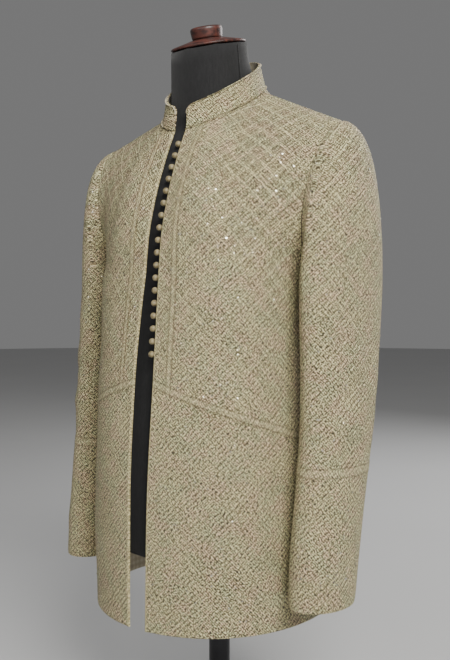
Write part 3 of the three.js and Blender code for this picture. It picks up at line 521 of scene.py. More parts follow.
def flattened(grid, origin_column):
    """The cut piece laid flat in metres: a coarse net of springs relaxed in the plane, then filled in."""
    guess = real_uv(grid, origin_column) * 1000
    row_ids = np.unique(np.linspace(0, grid.shape[0] - 1, NET_ROWS).round().astype(int))
    column_ids = np.unique(np.linspace(0, grid.shape[1] - 1, NET_COLUMNS).round().astype(int))
    solid = grid[np.ix_(row_ids, column_ids)].reshape(-1, 3)
    net = guess[np.ix_(row_ids, column_ids)].reshape(-1, 2).copy()
    first, second = spring_pairs(len(row_ids), len(column_ids))
    rest = np.linalg.norm(solid[first] - solid[second], axis=1)
    links = np.bincount(first, minlength=len(net)) + np.bincount(second, minlength=len(net))
    speed = np.zeros_like(net)
    for _ in range(SPRING_ROUNDS):
        gap = net[second] - net[first]
        length = np.maximum(np.linalg.norm(gap, axis=1, keepdims=True), 1e-6)
        pull = gap * (1 - rest[:, None] / length) * 0.5
        force = np.zeros_like(net)
        np.add.at(force, first, pull)
        np.add.at(force, second, -pull)
        speed = SPRING_KEEP * speed + SPRING_STEP * force / links[:, None]
        net += speed
    net = net.reshape(len(row_ids), len(column_ids), 2)
    middle = int(np.argmin(np.abs(column_ids - origin_column)))
    line = net[-1, middle] - net[0, middle]
    if origin_column in (0, grid.shape[1] - 1):
        line = net[len(row_ids) // 2, middle] - net[0, middle]
    turn = math.atan2(line[0], line[1])
    c, s = math.cos(turn), math.sin(turn)
    net = (net - net[0, middle]) @ np.array([[c, s], [-s, c]])
    across, rise = guess[..., 0], guess[..., 1]
    wide = np.zeros((len(row_ids), grid.shape[1], 2))
    full = np.zeros(grid.shape[:2] + (2,))
    for k in range(2):
        for i, row in enumerate(row_ids):
            wide[i, :, k] = np.interp(across[row], across[row, column_ids], net[i, :, k])
        for j in range(grid.shape[1]):
            full[:, j, k] = np.interp(rise[:, j], rise[row_ids, j], wide[:, j, k])
    return full / 1000


def to_metres(points):
    """Points in mm above the datum, as metres above the floor."""
    return (np.asarray(points) + np.array([0, 0, DATUM_Z])) / 1000


def new_object(name, mesh, materials):
    """Links a mesh as a new object with its materials, riding on the one body."""
    for material in materials:
        mesh.materials.append(material)
    piece = bpy.data.objects.new(name, mesh)
    bpy.context.scene.collection.objects.link(piece)
    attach(piece, "root")
    return piece


def shade_smooth(mesh, angle=50):
    """Smooth shading but for edges sharper than the angle in degrees."""
    mesh.polygons.foreach_set("use_smooth", [True] * len(mesh.polygons))
    mesh.set_sharp_from_angle(angle=math.radians(angle))
    mesh.update()


def shell(name, grid, relief, creases, uv, trim, materials):
    """A thin closed sheet: outer face, inner face behind it and a rim.

    relief, uv and trim have one value for each grid point. Returns the piece, its outer points and normals.
    """
    rows, columns = grid.shape[:2]
    normals = grid_normals(grid)
    drop = edge_drop(rows, columns)
    base = grid + normals * crease_height(grid, creases)[..., None]
    outer = base + normals * (relief - drop)[..., None]
    inner = base - normals * (WALL - 0.5 * drop)[..., None]
    points = np.concatenate([outer.reshape(-1, 3), inner.reshape(-1, 3)])
    index = np.arange(rows * columns).reshape(rows, columns)
    a, b, c, d = index[:-1, :-1], index[:-1, 1:], index[1:, 1:], index[1:, :-1]
    front = np.stack([a, b, c, d], axis=-1).reshape(-1, 4)
    under = np.stack([a, d, c, b], axis=-1).reshape(-1, 4) + rows * columns
    loop = np.concatenate([index[0, :-1], index[:-1, -1], index[-1, :0:-1], index[:0:-1, 0]])
    following = np.roll(loop, -1)
    rim = np.stack([following, loop, loop + rows * columns, following + rows * columns], axis=-1)
    faces = np.concatenate([front, under, rim])
    mesh = bpy.data.meshes.new(name)
    mesh.from_pydata(to_metres(points).tolist(), [], faces.tolist())
    slots = np.concatenate([np.zeros(len(front)), np.ones(len(under)), np.zeros(len(rim))]).astype(int)
    mesh.polygons.foreach_set("material_index", slots)
    corners = np.mod(faces.reshape(-1), rows * columns)
    for layer_name, values in (("UVMap", uv), ("Trim", trim)):
        layer = mesh.uv_layers.new(name=layer_name)
        layer.data.foreach_set("uv", values.reshape(-1, 2)[corners].reshape(-1))
    shade_smooth(mesh)
    return new_object(name, mesh, materials), outer, normals


class Nodes:
    """Short calls for a material's node tree; an input is a number, a vector or another node's output."""

    def __init__(self, name):
        self.material = bpy.data.materials.new(name)
        self.material.use_nodes = True
        self.tree = self.material.node_tree
        self.shader = self.tree.nodes["Principled BSDF"]

    def add(self, kind, inputs=(), output=0, **settings):
        node = self.tree.nodes.new(kind)
        for key, value in settings.items():
            setattr(node, key, value)
        for key, value in dict(inputs).items():
            self.put(node.inputs[key], value)
        return node.outputs[output]

    def put(self, socket, value):
        if isinstance(value, bpy.types.NodeSocket):
            self.tree.links.new(value, socket)
        else:
            socket.default_value = value

    def math(self, operation, a, b=0.0):
        return self.add("ShaderNodeMath", {0: a, 1: b}, operation=operation)

    def plus(self, a, b):
        return self.math("ADD", a, b)

    def minus(self, a, b):
        return self.math("SUBTRACT", a, b)

    def times(self, a, b):
        return self.math("MULTIPLY", a, b)

    def band(self, value, low, high, soft):
        """1 between low and high, falling to 0 over soft on each side."""
        ends = {"interpolation_type": "SMOOTHSTEP"}
        up = self.add("ShaderNodeMapRange", {0: value, 1: low - soft, 2: low}, **ends)
        down = self.add("ShaderNodeMapRange", {0: value, 1: high, 2: high + soft}, **ends)
        return self.times(up, self.minus(1.0, down))

    def ramp(self, value, low, high):
        return self.add("ShaderNodeMapRange", {0: value, 1: low, 2: high}, interpolation_type="SMOOTHSTEP")

    def mix(self, factor, a, b):
        return self.add("ShaderNodeMix", {0: factor, 6: a, 7: b}, output=2, data_type="RGBA")

    def noise(self, vector, scale, detail=2.0, output=0):
        inputs = {"Vector": vector, "Scale": scale, "Detail": detail}
        return self.add("ShaderNodeTexNoise", inputs, output=output)

    def bump(self, height, distance, strength):
        return self.add("ShaderNodeBump", {"Height": height, "Distance": distance, "Strength": strength})

    def finish(self, **inputs):
        """Fills the shader's sockets, whose names have spaces for underscores, and gives the material."""
        for key, value in inputs.items():
            self.put(self.shader.inputs[key.replace("_", " ")], value)
        return self.material


THREAD = (0.61, 0.52, 0.26, 1)
GREEN_THREAD = (0.43, 0.405, 0.205, 1)
PINK_THREAD = (0.56, 0.38, 0.215, 1)
# Pale thread of the lattice lines and the beads, and also the painted highlight on the stitches' tops; the
# two colours after it only tint that painted highlight
PALE_THREAD_AND_HIGHLIGHT = (0.94, 0.85, 0.49, 1)
PINK_HIGHLIGHT = (0.98, 0.8, 0.52, 1)
GREEN_HIGHLIGHT = (0.87, 0.86, 0.5, 1)
# Dark ground between the stitches, painted near black as shade in the gaps
GROUND_AND_GAP_SHADE = (0.04, 0.029, 0.014, 1)
DARK_LINE = (0.13, 0.095, 0.045, 1)

# Stitches, lattice and trims in mm; the wobble and the bump in metres; noise scales in repeats a metre
DIAMOND = 18.0
ROW_PITCH = 5.2
STROKE_PITCH = 2.6
STROKE_SIZE = (2.7, 1.4)
BEAD_PITCH = 3.6
BEAD_SLANT = 0.6
TRIM_SOFT = 0.5
LINE_SOFT = 0.6
WOBBLE = 0.0034
WOBBLE_SCALE = 190.0
STITCH_BUMP = 0.0014
PATCH_SCALE = 46.0
FIBRE_SCALE = 1400.0
FADE_SCALE = 11.0

# Heights between which the lattice grows stronger, and its share at the lower one
LATTICE_RISE = (0.34, 0.84)
LATTICE_LEAST = 0.3

# Distances from a diamond's middle, as shares of its pitch, and strength of each drawn part
LINE_REACH = (0.41, 0.47)
RING_REACH = (0.27, 0.33)
PETAL_REACH = (0.06, 0.17)
LINE_STRENGTH = 0.14
RING_STRENGTH = 0.5
PETAL_STRENGTH = 0.75

# Reach of the dark lines at a bead band's edges, outwards and inwards
LINE_OUTSIDE = 0.8
LINE_INSIDE = 0.6

# Height of a plain strip and of a seam
STRIP_LEVEL = 0.55
SEAM_LEVEL = -0.5


def cell(n, value, pitch):
    """Place within one repeat, from 0 to 1."""
    return n.math("FRACT", n.math("DIVIDE", value, pitch))


def hill(n, fraction):
    return n.math("SINE", n.times(fraction, math.pi))


def slanted_stitches(n, a, b):
    """Height of rows of short strokes that lie along the first direction."""
    rows = n.math("SINE", n.times(b, 2 * math.pi / ROW_PITCH))
    strokes = n.math("SINE", n.times(a, 2 * math.pi / STROKE_PITCH))
    even = n.plus(n.times(strokes, 0.75), n.times(rows, 0.4))
    where = {0: n.times(a, 1 / STROKE_SIZE[0]), 1: n.times(b, 1 / STROKE_SIZE[1])}
    return even, n.noise(n.add("ShaderNodeCombineXYZ", where), 1.0, 1.5)


def stitch_height(n, uv, a, b):
    """Dense stitches, whose direction turns by a right angle from patch to patch."""
    turn = n.ramp(n.noise(uv, PATCH_SCALE, 1.0), 0.53, 0.6)
    keep = n.minus(1.0, turn)
    pairs = zip(slanted_stitches(n, a, b), slanted_stitches(n, b, a))
    even, uneven = (n.plus(n.times(first, keep), n.times(second, turn)) for first, second in pairs)
    return n.plus(n.times(even, 0.5), n.ramp(uneven, 0.32, 0.68))


def thread_colour(n, uv, moved, height):
    """Threads of several tints, with a pale painted highlight on the tops of the stitches and near-black
    painted shade on the ground between them.
    """
    tone = n.plus(n.times(n.noise(uv, 26.0, 2.0), 0.55), n.times(n.noise(moved, 290.0, 1.0), 0.45))
    tint = n.plus(n.times(n.noise(uv, 40.0, 1.0), 0.55), n.times(n.noise(uv, 330.0, 1.0), 0.45))
    colour = n.mix(n.ramp(tone, 0.4, 0.58), GREEN_THREAD, THREAD)
    colour = n.mix(n.times(n.ramp(tint, 0.5, 0.6), 0.8), colour, PINK_THREAD)
    # Painted highlight: pale, tinted like the thread, laid over the highest parts of the stitches
    pale = n.mix(n.ramp(tone, 0.42, 0.56), GREEN_HIGHLIGHT, PALE_THREAD_AND_HIGHLIGHT)
    pale = n.mix(n.ramp(tint, 0.47, 0.58), pale, PINK_HIGHLIGHT)
    colour = n.mix(n.times(n.ramp(height, 0.55, 0.9), 0.9), colour, pale)
    # Painted shade: near black where the stitches are lowest, in the gaps between them
    return n.mix(n.times(n.ramp(height, 0.6, 0.24), 0.97), colour, GROUND_AND_GAP_SHADE)


def add_lattice(n, uv, a, b, lattice, colour, height):
    """Diamonds with pale lines, a dark ring and four dark petals, fainter in places and lower down."""
    place = n.add("ShaderNodeTexCoord", output=3)
    z = n.add("ShaderNodeSeparateXYZ", {0: place}, output=2)
    rise = n.plus(LATTICE_LEAST, n.times(n.ramp(z, *LATTICE_RISE), 1 - LATTICE_LEAST))
    off_a, off_b = (n.math("ABSOLUTE", n.minus(cell(n, value, DIAMOND), 0.5)) for value in (a, b))
    reach = n.math("MAXIMUM", off_a, off_b)
    near = n.math("MINIMUM", off_a, off_b)
    lines = n.ramp(reach, *LINE_REACH)
    ring = n.band(reach, *RING_REACH, 0.04)
    petals = n.times(n.band(reach, *PETAL_REACH, 0.03), n.ramp(near, 0.02, 0.06))
    fade = n.times(n.times(n.ramp(n.noise(uv, FADE_SCALE, 2.0), 0.25, 0.55), rise), lattice)
    colour = n.mix(n.times(lines, n.times(fade, LINE_STRENGTH)), colour, PALE_THREAD_AND_HIGHLIGHT)
    colour = n.mix(n.times(ring, n.times(fade, RING_STRENGTH)), colour, DARK_LINE)
    colour = n.mix(n.times(petals, n.times(fade, PETAL_STRENGTH)), colour, DARK_LINE)
    raised = n.times(n.plus(n.times(lines, 0.15), n.times(n.plus(ring, petals), -0.45)), fade)
    return colour, n.plus(height, raised)


def add_flat_trim(n, inside, thread, level, colour, height):
    """A plain strip or a seam: one colour at one level."""
    height = n.plus(n.times(height, n.minus(1.0, inside)), n.times(inside, level))
    return n.mix(inside, colour, thread), height


def add_beads(n, distance, length, low, high, strength, inside, colour, height):
    """A band of slanted beads between two dark lines."""
    low_line = n.band(distance, low - LINE_OUTSIDE, low + LINE_INSIDE, LINE_SOFT)
    high_line = n.band(distance, high - LINE_INSIDE, high + LINE_OUTSIDE, LINE_SOFT)
    lines = n.times(n.plus(low_line, high_line), strength)
    slant = n.plus(length, n.times(distance, BEAD_SLANT))
    across = n.math("DIVIDE", n.minus(distance, low), high - low)
    beads = n.times(hill(n, cell(n, slant, BEAD_PITCH)), hill(n, across))
    filled = n.mix(n.ramp(beads, 0.15, 0.6), DARK_LINE, PALE_THREAD_AND_HIGHLIGHT)
    colour = n.mix(n.times(inside, 0.6), colour, filled)
    colour = n.mix(n.times(lines, 0.75), colour, DARK_LINE)
    return colour, n.plus(height, n.times(inside, n.minus(beads, 0.4)))


def add_trims(n, trims, colour, height):
    """Draws each trim along its line, over what lies there."""
    trim_uv = n.add("ShaderNodeUVMap", uv_map="Trim")
    axes = n.add("ShaderNodeSeparateXYZ", {0: trim_uv}).node.outputs
    for axis, low, high, strength, kind in trims:
        distance = n.times(axes[axis], 1000.0)
        length = n.times(axes[1 - axis], 1000.0)
        inside = n.times(n.band(distance, low, high, TRIM_SOFT), strength)
        if kind == "beads":
            colour, height = add_beads(n, distance, length, low, high, strength, inside, colour, height)
        elif kind == "strip":
            colour, height = add_flat_trim(n, inside, THREAD, STRIP_LEVEL, colour, height)
        else:
            colour, height = add_flat_trim(n, inside, DARK_LINE, SEAM_LEVEL, colour, height)
    return colour, height


def embroidery(name, lattice, trims):
    """Dense diagonal stitches with a pale painted highlight on their tops and near-black painted shade over
    the dark ground between them, with a lattice of diamonds and stitched trim lines.

    trims lists bands as (axis of the Trim map, low, high, strength, kind) in millimetres.
    A kind is beads, a plain strip or a dark seam.
    """
    n = Nodes(name)
    uv = n.add("ShaderNodeUVMap", uv_map="UVMap")
    cloud = n.noise(uv, WOBBLE_SCALE, 1.0, output=1)
    centred = n.add("ShaderNodeVectorMath", {0: cloud, 1: (0.5, 0.5, 0.5)}, operation="SUBTRACT")
    small = n.add("ShaderNodeVectorMath", {0: centred, "Scale": WOBBLE}, operation="SCALE")
    moved = n.add("ShaderNodeVectorMath", {0: uv, 1: small}, operation="ADD")
    u, v = n.add("ShaderNodeSeparateXYZ", {0: moved}).node.outputs[:2]
    scale = 1000 / math.sqrt(2)
    a = n.times(n.plus(u, v), scale)
    b = n.times(n.minus(u, v), scale)
    height = stitch_height(n, uv, a, b)
    colour = thread_colour(n, uv, moved, height)
    colour, height = add_lattice(n, uv, a, b, lattice, colour, height)
    colour, height = add_trims(n, trims, colour, height)
    fibre = n.noise(uv, FIBRE_SCALE, 2.0)
    return n.finish(
        Base_Color=colour,
        Roughness=n.plus(0.5, n.times(fibre, 0.3)),
        Normal=n.bump(n.plus(height, n.times(fibre, 0.25)), STITCH_BUMP, 0.95),
        Sheen_Weight=0.08,
        Sheen_Roughness=0.5,
        Sheen_Tint=(0.9, 0.82, 0.62, 1),
        Specular_IOR_Level=0.4,
    )


# Scale of a wave texture whose waves are one millimetre apart
WAVE_SCALE = 31.4


def plain_weave(name, base, dark, pitch=0.9, roughness=0.7, sheen=0.15):
    """Plain woven cloth on object coordinates, for the reverse, the buttons and the border's threads."""
    n = Nodes(name)
    where = n.add("ShaderNodeTexCoord", output=3)
    waves = []
    for direction in ("X", "Y", "Z"):
        inputs = {"Vector": where, "Scale": WAVE_SCALE / pitch, "Distortion": 0.6}
        waves.append(n.add("ShaderNodeTexWave", inputs, output=1, bands_direction=direction))
    weave = n.times(n.plus(n.plus(waves[0], waves[1]), waves[2]), 0.333)
    cloud = n.noise(where, 24.0, 3.0)
    colour = n.mix(n.ramp(n.plus(weave, n.times(cloud, 0.5)), 0.35, 1.05), dark, base)
    rough = n.plus(roughness - 0.08, n.times(cloud, 0.16))
    normal = n.bump(weave, 0.0004, 0.5)
    return n.finish(Base_Color=colour, Roughness=rough, Normal=normal, Sheen_Weight=sheen)


def brushed_cloth(name, base, dark):
    """Plain knitted cover of the form: fine flecks and a slight mottling."""
    n = Nodes(name)
    where = n.add("ShaderNodeTexCoord", output=3)
    stretched = n.add("ShaderNodeMapping", {"Vector": where, "Scale": (420.0, 420.0, 90.0)})
    cloud = n.noise(where, 18.0, 3.0)
    height = n.plus(n.times(n.noise(where, 1100.0, 2.0), 0.6), n.times(n.noise(stretched, 1.0, 2.0), 0.4))
    colour = n.mix(n.ramp(n.plus(height, n.times(cloud, 0.4)), 0.5, 0.95), dark, base)
    return n.finish(
        Base_Color=colour,
        Roughness=n.plus(0.82, n.times(cloud, 0.12)),
        Normal=n.bump(height, 0.0005, 0.5),
        Sheen_Weight=0.12,
        Specular_IOR_Level=0.25,
    )


def turned_wood():
    """Dark polished wood with grain along one axis and small pores."""
    n = Nodes("turned_wood")
    where = n.add("ShaderNodeTexCoord", output=3)
    stretched = n.add("ShaderNodeMapping", {"Vector": where, "Scale": (9.0, 60.0, 60.0)})
    grain = n.noise(stretched, 3.0, 6.0)
    pores = n.noise(stretched, 22.0, 3.0)
    colour = n.mix(n.ramp(grain, 0.35, 0.7), (0.026, 0.007, 0.005, 1), (0.1, 0.026, 0.017, 1))
    colour = n.mix(n.times(n.ramp(pores, 0.58, 0.75), 0.6), colour, (0.012, 0.004, 0.003, 1))
    return n.finish(
        Base_Color=colour,
        Roughness=n.plus(0.42, n.times(grain, 0.15)),
        Normal=n.bump(pores, 0.0002, 0.3),
        Coat_Weight=0.25,
        Coat_Roughness=0.28,
    )


def stand_metal():
    """Black painted steel with a slight grain and rubbed places."""
    n = Nodes("stand_metal")
    where = n.add("ShaderNodeTexCoord", output=3)
    wear = n.noise(where, 14.0, 4.0)
    colour = n.mix(n.ramp(wear, 0.4, 0.7), (0.028, 0.028, 0.031, 1), (0.05, 0.05, 0.054, 1))
    rough = n.plus(0.36, n.times(wear, 0.2))
    normal = n.bump(n.noise(where, 900.0, 3.0), 0.0002, 0.35)
    return n.finish(Base_Color=colour, Roughness=rough, Normal=normal, Metallic=0.6)


def sequin_material():
    n = Nodes("sequin")
    tone = n.noise(n.add("ShaderNodeTexCoord", output=3), 60.0, 1.0)
    colour = n.mix(tone, (0.9, 0.86, 0.74, 1), (0.8, 0.74, 0.6, 1))
    return n.finish(Base_Color=colour, Roughness=n.plus(0.2, n.times(tone, 0.1)), Metallic=0.9)


def floor_material():
    n = Nodes("floor")
    cloud = n.noise(n.add("ShaderNodeTexCoord", output=3), 2.0, 3.0)
    colour = n.mix(cloud, (0.5, 0.5, 0.5, 1), (0.54, 0.54, 0.54, 1))
    return n.finish(Base_Color=colour, Roughness=n.plus(0.75, n.times(cloud, 0.1)))


# Trims as axis of the Trim map, low and high in mm, strength and kind
EDGE_TRIM = (0, -1.0, 2.4, 0.45, "strip")
BORDER_TRIM = (0, 21.5, 29.0, 0.55, "beads")
WAIST_TRIM = (1, 3.0, 12.5, 0.45, "beads")
SEAM_TRIM = (0, -1.0, 1.2, 0.75, "seam")
FOREARM_TRIM = (1, *FOREARM_BAND, 0.4, "beads")
COLLAR_TRIM = (1, 23.0, 28.0, 0.25, "beads")

upper_cloth = embroidery("embroidery_upper", 1.0, [EDGE_TRIM, BORDER_TRIM, WAIST_TRIM])
skirt_cloth = embroidery("embroidery_skirt", 0.6, [EDGE_TRIM])
back_cloth = embroidery("embroidery_back", 0.9, [SEAM_TRIM])
sleeve_cloth = embroidery("embroidery_sleeve", 0.8, [FOREARM_TRIM])
collar_cloth = embroidery("embroidery_collar", 0.4, [COLLAR_TRIM])
reverse_cloth = plain_weave("reverse_cloth", (0.52, 0.46, 0.33, 1), (0.36, 0.31, 0.21, 1))
button_silk = plain_weave("button_silk", (0.27, 0.225, 0.12, 1), (0.165, 0.13, 0.062, 1), 0.5, 0.45, 0.05)
thread_cloth = plain_weave("border_thread", (0.38, 0.3, 0.15, 1), (0.2, 0.15, 0.07, 1), 0.6, 0.6, 0.05)
form_cloth = brushed_cloth("form_cloth", (0.018, 0.018, 0.0185, 1), (0.0095, 0.0095, 0.01, 1))
wood = turned_wood()
metal = stand_metal()

outers = {}


def ridge(value, low, high, width):
    """1 between low and high, with a slope of the given width at each."""
    return step(value, low, width) * (1 - step(value, high, width))


def body_relief(u, waist_rise=None):
    """Raised edge strip of a front panel, and above the waist seam its border and waist band."""
    strip = STRIP_RELIEF * (1 - step(u, EDGE_STRIP, STRIP_SLOPE))
    if waist_rise is None:
        return strip
    border = BAND_RELIEF * ridge(u, *BORDER, BORDER_SLOPE)
    band = BAND_RELIEF * ridge(waist_rise, *WAIST_BAND, WAIST_SLOPE)
    return np.maximum(np.maximum(strip, border), band)


def make_pair(name, grid, relief, trim, cloth, origin):
    """Builds a left panel and its mirror, each with its own creases; patterns start at the origin column."""
    cloths = [cloth, reverse_cloth]
    for side, creases in (("left", CREASES_LEFT), ("right", CREASES_RIGHT)):
        points, height, marks, column = grid, relief, trim, origin
        if side == "right":
            points, height, marks = mirrored(grid), relief[:, ::-1], trim[:, ::-1]
            column = grid.shape[1] - 1 - origin
        node = f"{name}_{side}"
        flat_map = flattened(points, column)
        piece, outer, normals = shell(f"{node}_cloth", points, height, creases, flat_map, marks, cloths)
        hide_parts(node)
        outers[node] = (outer, normals)


def body_panels():
    """Skirts and upper fronts, whose patterns start at the front edge, and the backs, from centre back."""
    skirt = front_skirt()
    relief = np.broadcast_to(body_relief(BODY_U), skirt.shape[:2]).copy()
    make_pair("front_skirt", skirt, relief, real_uv(skirt, 0), skirt_cloth, 0)

    upper = front_upper()
    lengths = real_uv(upper, 0)
    relief = body_relief(np.broadcast_to(BODY_U, upper.shape[:2]), lengths[..., 1] * 1000)
    make_pair("front_upper", upper, relief, lengths, upper_cloth, 0)

    back = back_panel()
    centre_back = back.shape[1] - 1
    from_centre = real_uv(back, centre_back) * [-1, 1]
    make_pair("back", back, np.zeros(back.shape[:2]), from_centre, back_cloth, centre_back)


TOP_SLEEVE_COLUMNS = 84
UNDER_SLEEVE_COLUMNS = 56


def sleeves():
    """Top and under sleeves, whose patterns start at their middle columns."""
    top = ("top_sleeve", SEAM_STEPS, 2 * HALF_STEPS - SEAM_STEPS, TOP_SLEEVE_COLUMNS)
    under = ("under_sleeve", -SEAM_STEPS, SEAM_STEPS, UNDER_SLEEVE_COLUMNS)
    for name, first, last, columns in (top, under):
        sleeve = sleeve_grid(first, last, columns)
        heights = sleeve[..., 2]
        relief = BAND_RELIEF * ridge(heights, *FOREARM_BAND, FOREARM_SLOPE)
        trim = np.stack([real_uv(sleeve, columns // 2)[..., 0], heights / 1000], axis=-1)
        make_pair(name, sleeve, relief, trim, sleeve_cloth, columns // 2)


# A column of the collar's grid well past its rounded front corner, where it has its full height
FULL_HEIGHT_COLUMN = 60


def collar_piece():
    points = collar()
    rise = np.linalg.norm(points - points[0], axis=-1)
    level = rise / rise[-1, FULL_HEIGHT_COLUMN]
    relief = COLLAR_RELIEF * ridge(level, *COLLAR_BAND, COLLAR_SLOPE)
    trim = np.stack([real_uv(points, 0)[..., 0], rise / 1000], axis=-1)
    cloths = [collar_cloth, reverse_cloth]
    piece = shell("collar_cloth", points, relief, [], flattened(points, 0), trim, cloths)[0]
    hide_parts("collar")


body_panels()
sleeves()
collar_piece()


def ring_faces(base, rings, sides):
    """Quads between rings of points that follow each other from the point numbered base."""
    faces = []
    for low in range(base, base + (rings - 1) * sides, sides):
        for k in range(sides):
            j = (k + 1) % sides
            faces.append((low + k, low + j, low + sides + j, low + sides + k))
    return faces


def tube_faces(base, rings, sides):
    """Quads between rings, and a face over the first and the last ring."""
    last = base + (rings - 1) * sides
    first_cap = tuple(range(base + sides - 1, base - 1, -1))
    return ring_faces(base, rings, sides) + [first_cap, tuple(range(last, last + sides))]


MOST_OF_A_SIDE = 0.45


def rounded(profile, radius, steps=4):
    """Replaces the corners of a profile with small arcs."""
    points = [np.array(profile[0], float)]
    for before, here, after in zip(profile, profile[1:], profile[2:]):
        before, here, after = (np.array(p, float) for p in (before, here, after))
        to_before, to_after = before - here, after - here
        length_before, length_after = np.linalg.norm(to_before), np.linalg.norm(to_after)
        reach = min(radius, MOST_OF_A_SIDE * length_before, MOST_OF_A_SIDE * length_after)
        start = here + to_before / length_before * reach
        end = here + to_after / length_after * reach
        for t in np.linspace(0, 1, steps + 1):
            points.append((1 - t) ** 2 * start + 2 * t * (1 - t) * here + t * t * end)
    points.append(np.array(profile[-1], float))
    return points


def lathe(name, profile, segments, placed, material, node):
    """Solid of revolution from (radius, height) pairs in mm; placed maps its points to the object."""
    turns = np.linspace(0, 2 * math.pi, segments, endpoint=False)
    points = [placed(np.array([r * math.cos(a), r * math.sin(a), h])) for r, h in profile for a in turns]
    mesh = bpy.data.meshes.new(name)
    mesh.from_pydata((np.array(points) / 1000).tolist(), [], tube_faces(0, len(profile), segments))
    shade_smooth(mesh, angle=38)
    piece = new_object(name, mesh, [material])
    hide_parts(node)


CAP_TILT = math.radians(14)
NECK_CENTRE_Y = -26.0
NECK_TOP = np.array([0, NECK_CENTRE_Y, 931.0 + DATUM_Z])


def on_neck(lift):
    """Places points on the neck's slanted top, lift above it."""
    s, c = math.sin(CAP_TILT), math.cos(CAP_TILT)
    turn = np.array([[1, 0, 0], [0, c, -s], [0, s, c]])

    def place(point):
        return turn @ (point + np.array([0, 0, lift])) + NECK_TOP

    return place


def above_floor(lift):
    """Places points above the floor by lift."""

    def place(point):
        return point + np.array([0, 0, lift])

    return place


# Profiles as radius and height in mm
FLANGE_TOP = 11.6
BASE_TOP = 18.0
FLANGE = [(1, 0), (51, 0), (53.6, 1.2), (54, 2.8), (52, 4.2), (46.4, 5.6), (45.8, 5.1), (45, 6)]
FLANGE += [(33, 8.9), (25, 11.1), (22, FLANGE_TOP), (1, FLANGE_TOP)]
KNOB = [(1, 0), (20.5, 0), (21.6, 1.5), (22, 4), (22.6, 9), (22.9, 13), (22, 15.6), (19.5, 16.7), (1, 16.9)]
BASE = [(1, 0), (148, 0), (148, 15), (145, BASE_TOP), (22, BASE_TOP), (1, BASE_TOP)]
POLE = [(1, 0), (15, 0), (15, 267.4), (1, 267.4)]


def turned_pieces():
    """Wooden cap and knob on the neck, and the stand's base and pole."""
    flange_place = on_neck(SEAM_GAP)
    knob_place = on_neck(FLANGE_TOP + 2 * SEAM_GAP)
    pole_place = above_floor(BASE_TOP + SEAM_GAP)
    lathe("neck_cap_turned", rounded(FLANGE, 1.4), 96, flange_place, wood, "neck_cap")
    lathe("neck_knob_turned", rounded(KNOB, 1.6), 96, knob_place, wood, "neck_knob")
    lathe("stand_base_disc", rounded(BASE, 2.0), 128, above_floor(0), metal, "stand_base")
    lathe("stand_pole_tube", rounded(POLE, 0.8), 64, pole_place, metal, "stand_pole")


FORM_EDGE_ANGLE = math.radians(48)
FORM_EDGE_SHARPNESS = 0.9


def smooth_form():
    """The form's own solid with its triangles joined to quads and rounded by subdivision."""
    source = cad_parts["form_torso"]
    mesh = source.data.copy()
    mesh.materials.clear()
    work = bmesh.new()
    work.from_mesh(mesh)
    work.transform(source.matrix_world)
    bmesh.ops.remove_doubles(work, verts=work.verts, dist=1e-5)
    bmesh.ops.join_triangles(work, faces=work.faces, angle_face_threshold=1.2, angle_shape_threshold=3.2)
    sharpness = work.edges.layers.float.new("crease_edge")
    for edge in work.edges:
        if len(edge.link_faces) == 2 and edge.calc_face_angle() > FORM_EDGE_ANGLE:
            edge[sharpness] = FORM_EDGE_SHARPNESS
    work.to_mesh(mesh)
    work.free()
    piece = new_object("form_torso_cloth", mesh, [form_cloth])
    piece.modifiers.new("round", "SUBSURF").levels = 2
    evaluated = piece.evaluated_get(bpy.context.evaluated_depsgraph_get())
    finished = bpy.data.meshes.new_from_object(evaluated)
    piece.modifiers.clear()
    piece.data = finished
    shade_smooth(finished, angle=60)
    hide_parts("form_torso")


def outward_mesh(name, points, faces, merge=None):
    """Mesh from points in mm with its faces turned outwards; points closer than merge are joined."""
    mesh = bpy.data.meshes.new(name)
    mesh.from_pydata(to_metres(points).tolist(), [], faces)
    work = bmesh.new()
    work.from_mesh(mesh)
    if merge:
        bmesh.ops.remove_doubles(work, verts=work.verts, dist=merge)
    bmesh.ops.recalc_face_normals(work, faces=work.faces)
    work.to_mesh(mesh)
    work.free()
    return mesh


BUTTON_HEIGHTS = np.linspace(783, 502, 18)
BUTTON_RADIUS = 4.3
BUTTON_SHANK = 0.9
BUTTON_BEHIND_EDGE = 1.25
BALL_SEGMENTS = 32
BALL_RINGS = 20
BALL_FLATNESS = 0.98
GATHERS = 9
GATHER_DEPTH = 0.16
GATHER_TURN = 1.3
GATHERS_FROM = 1.7
GATHERS_RISE = 1.4
SHANK_SIDES = 12

# Distance along the shank from the ball's skin, and radius there
SHANK_PROFILE = [(-0.4, 1.1), (1.0, 0.9)]


def front_edge(z):
    """Point of the left front's edge at a height."""
    if z <= UNDERARM_Z:
        return torso_point(z, 0.0, True)
    top = top_point(0.0, True)
    rows = [*FRONT_EDGE, (top[2], top[0], top[1])]
    return np.array([table_value(rows, 1, z), table_value(rows, 2, z), z])


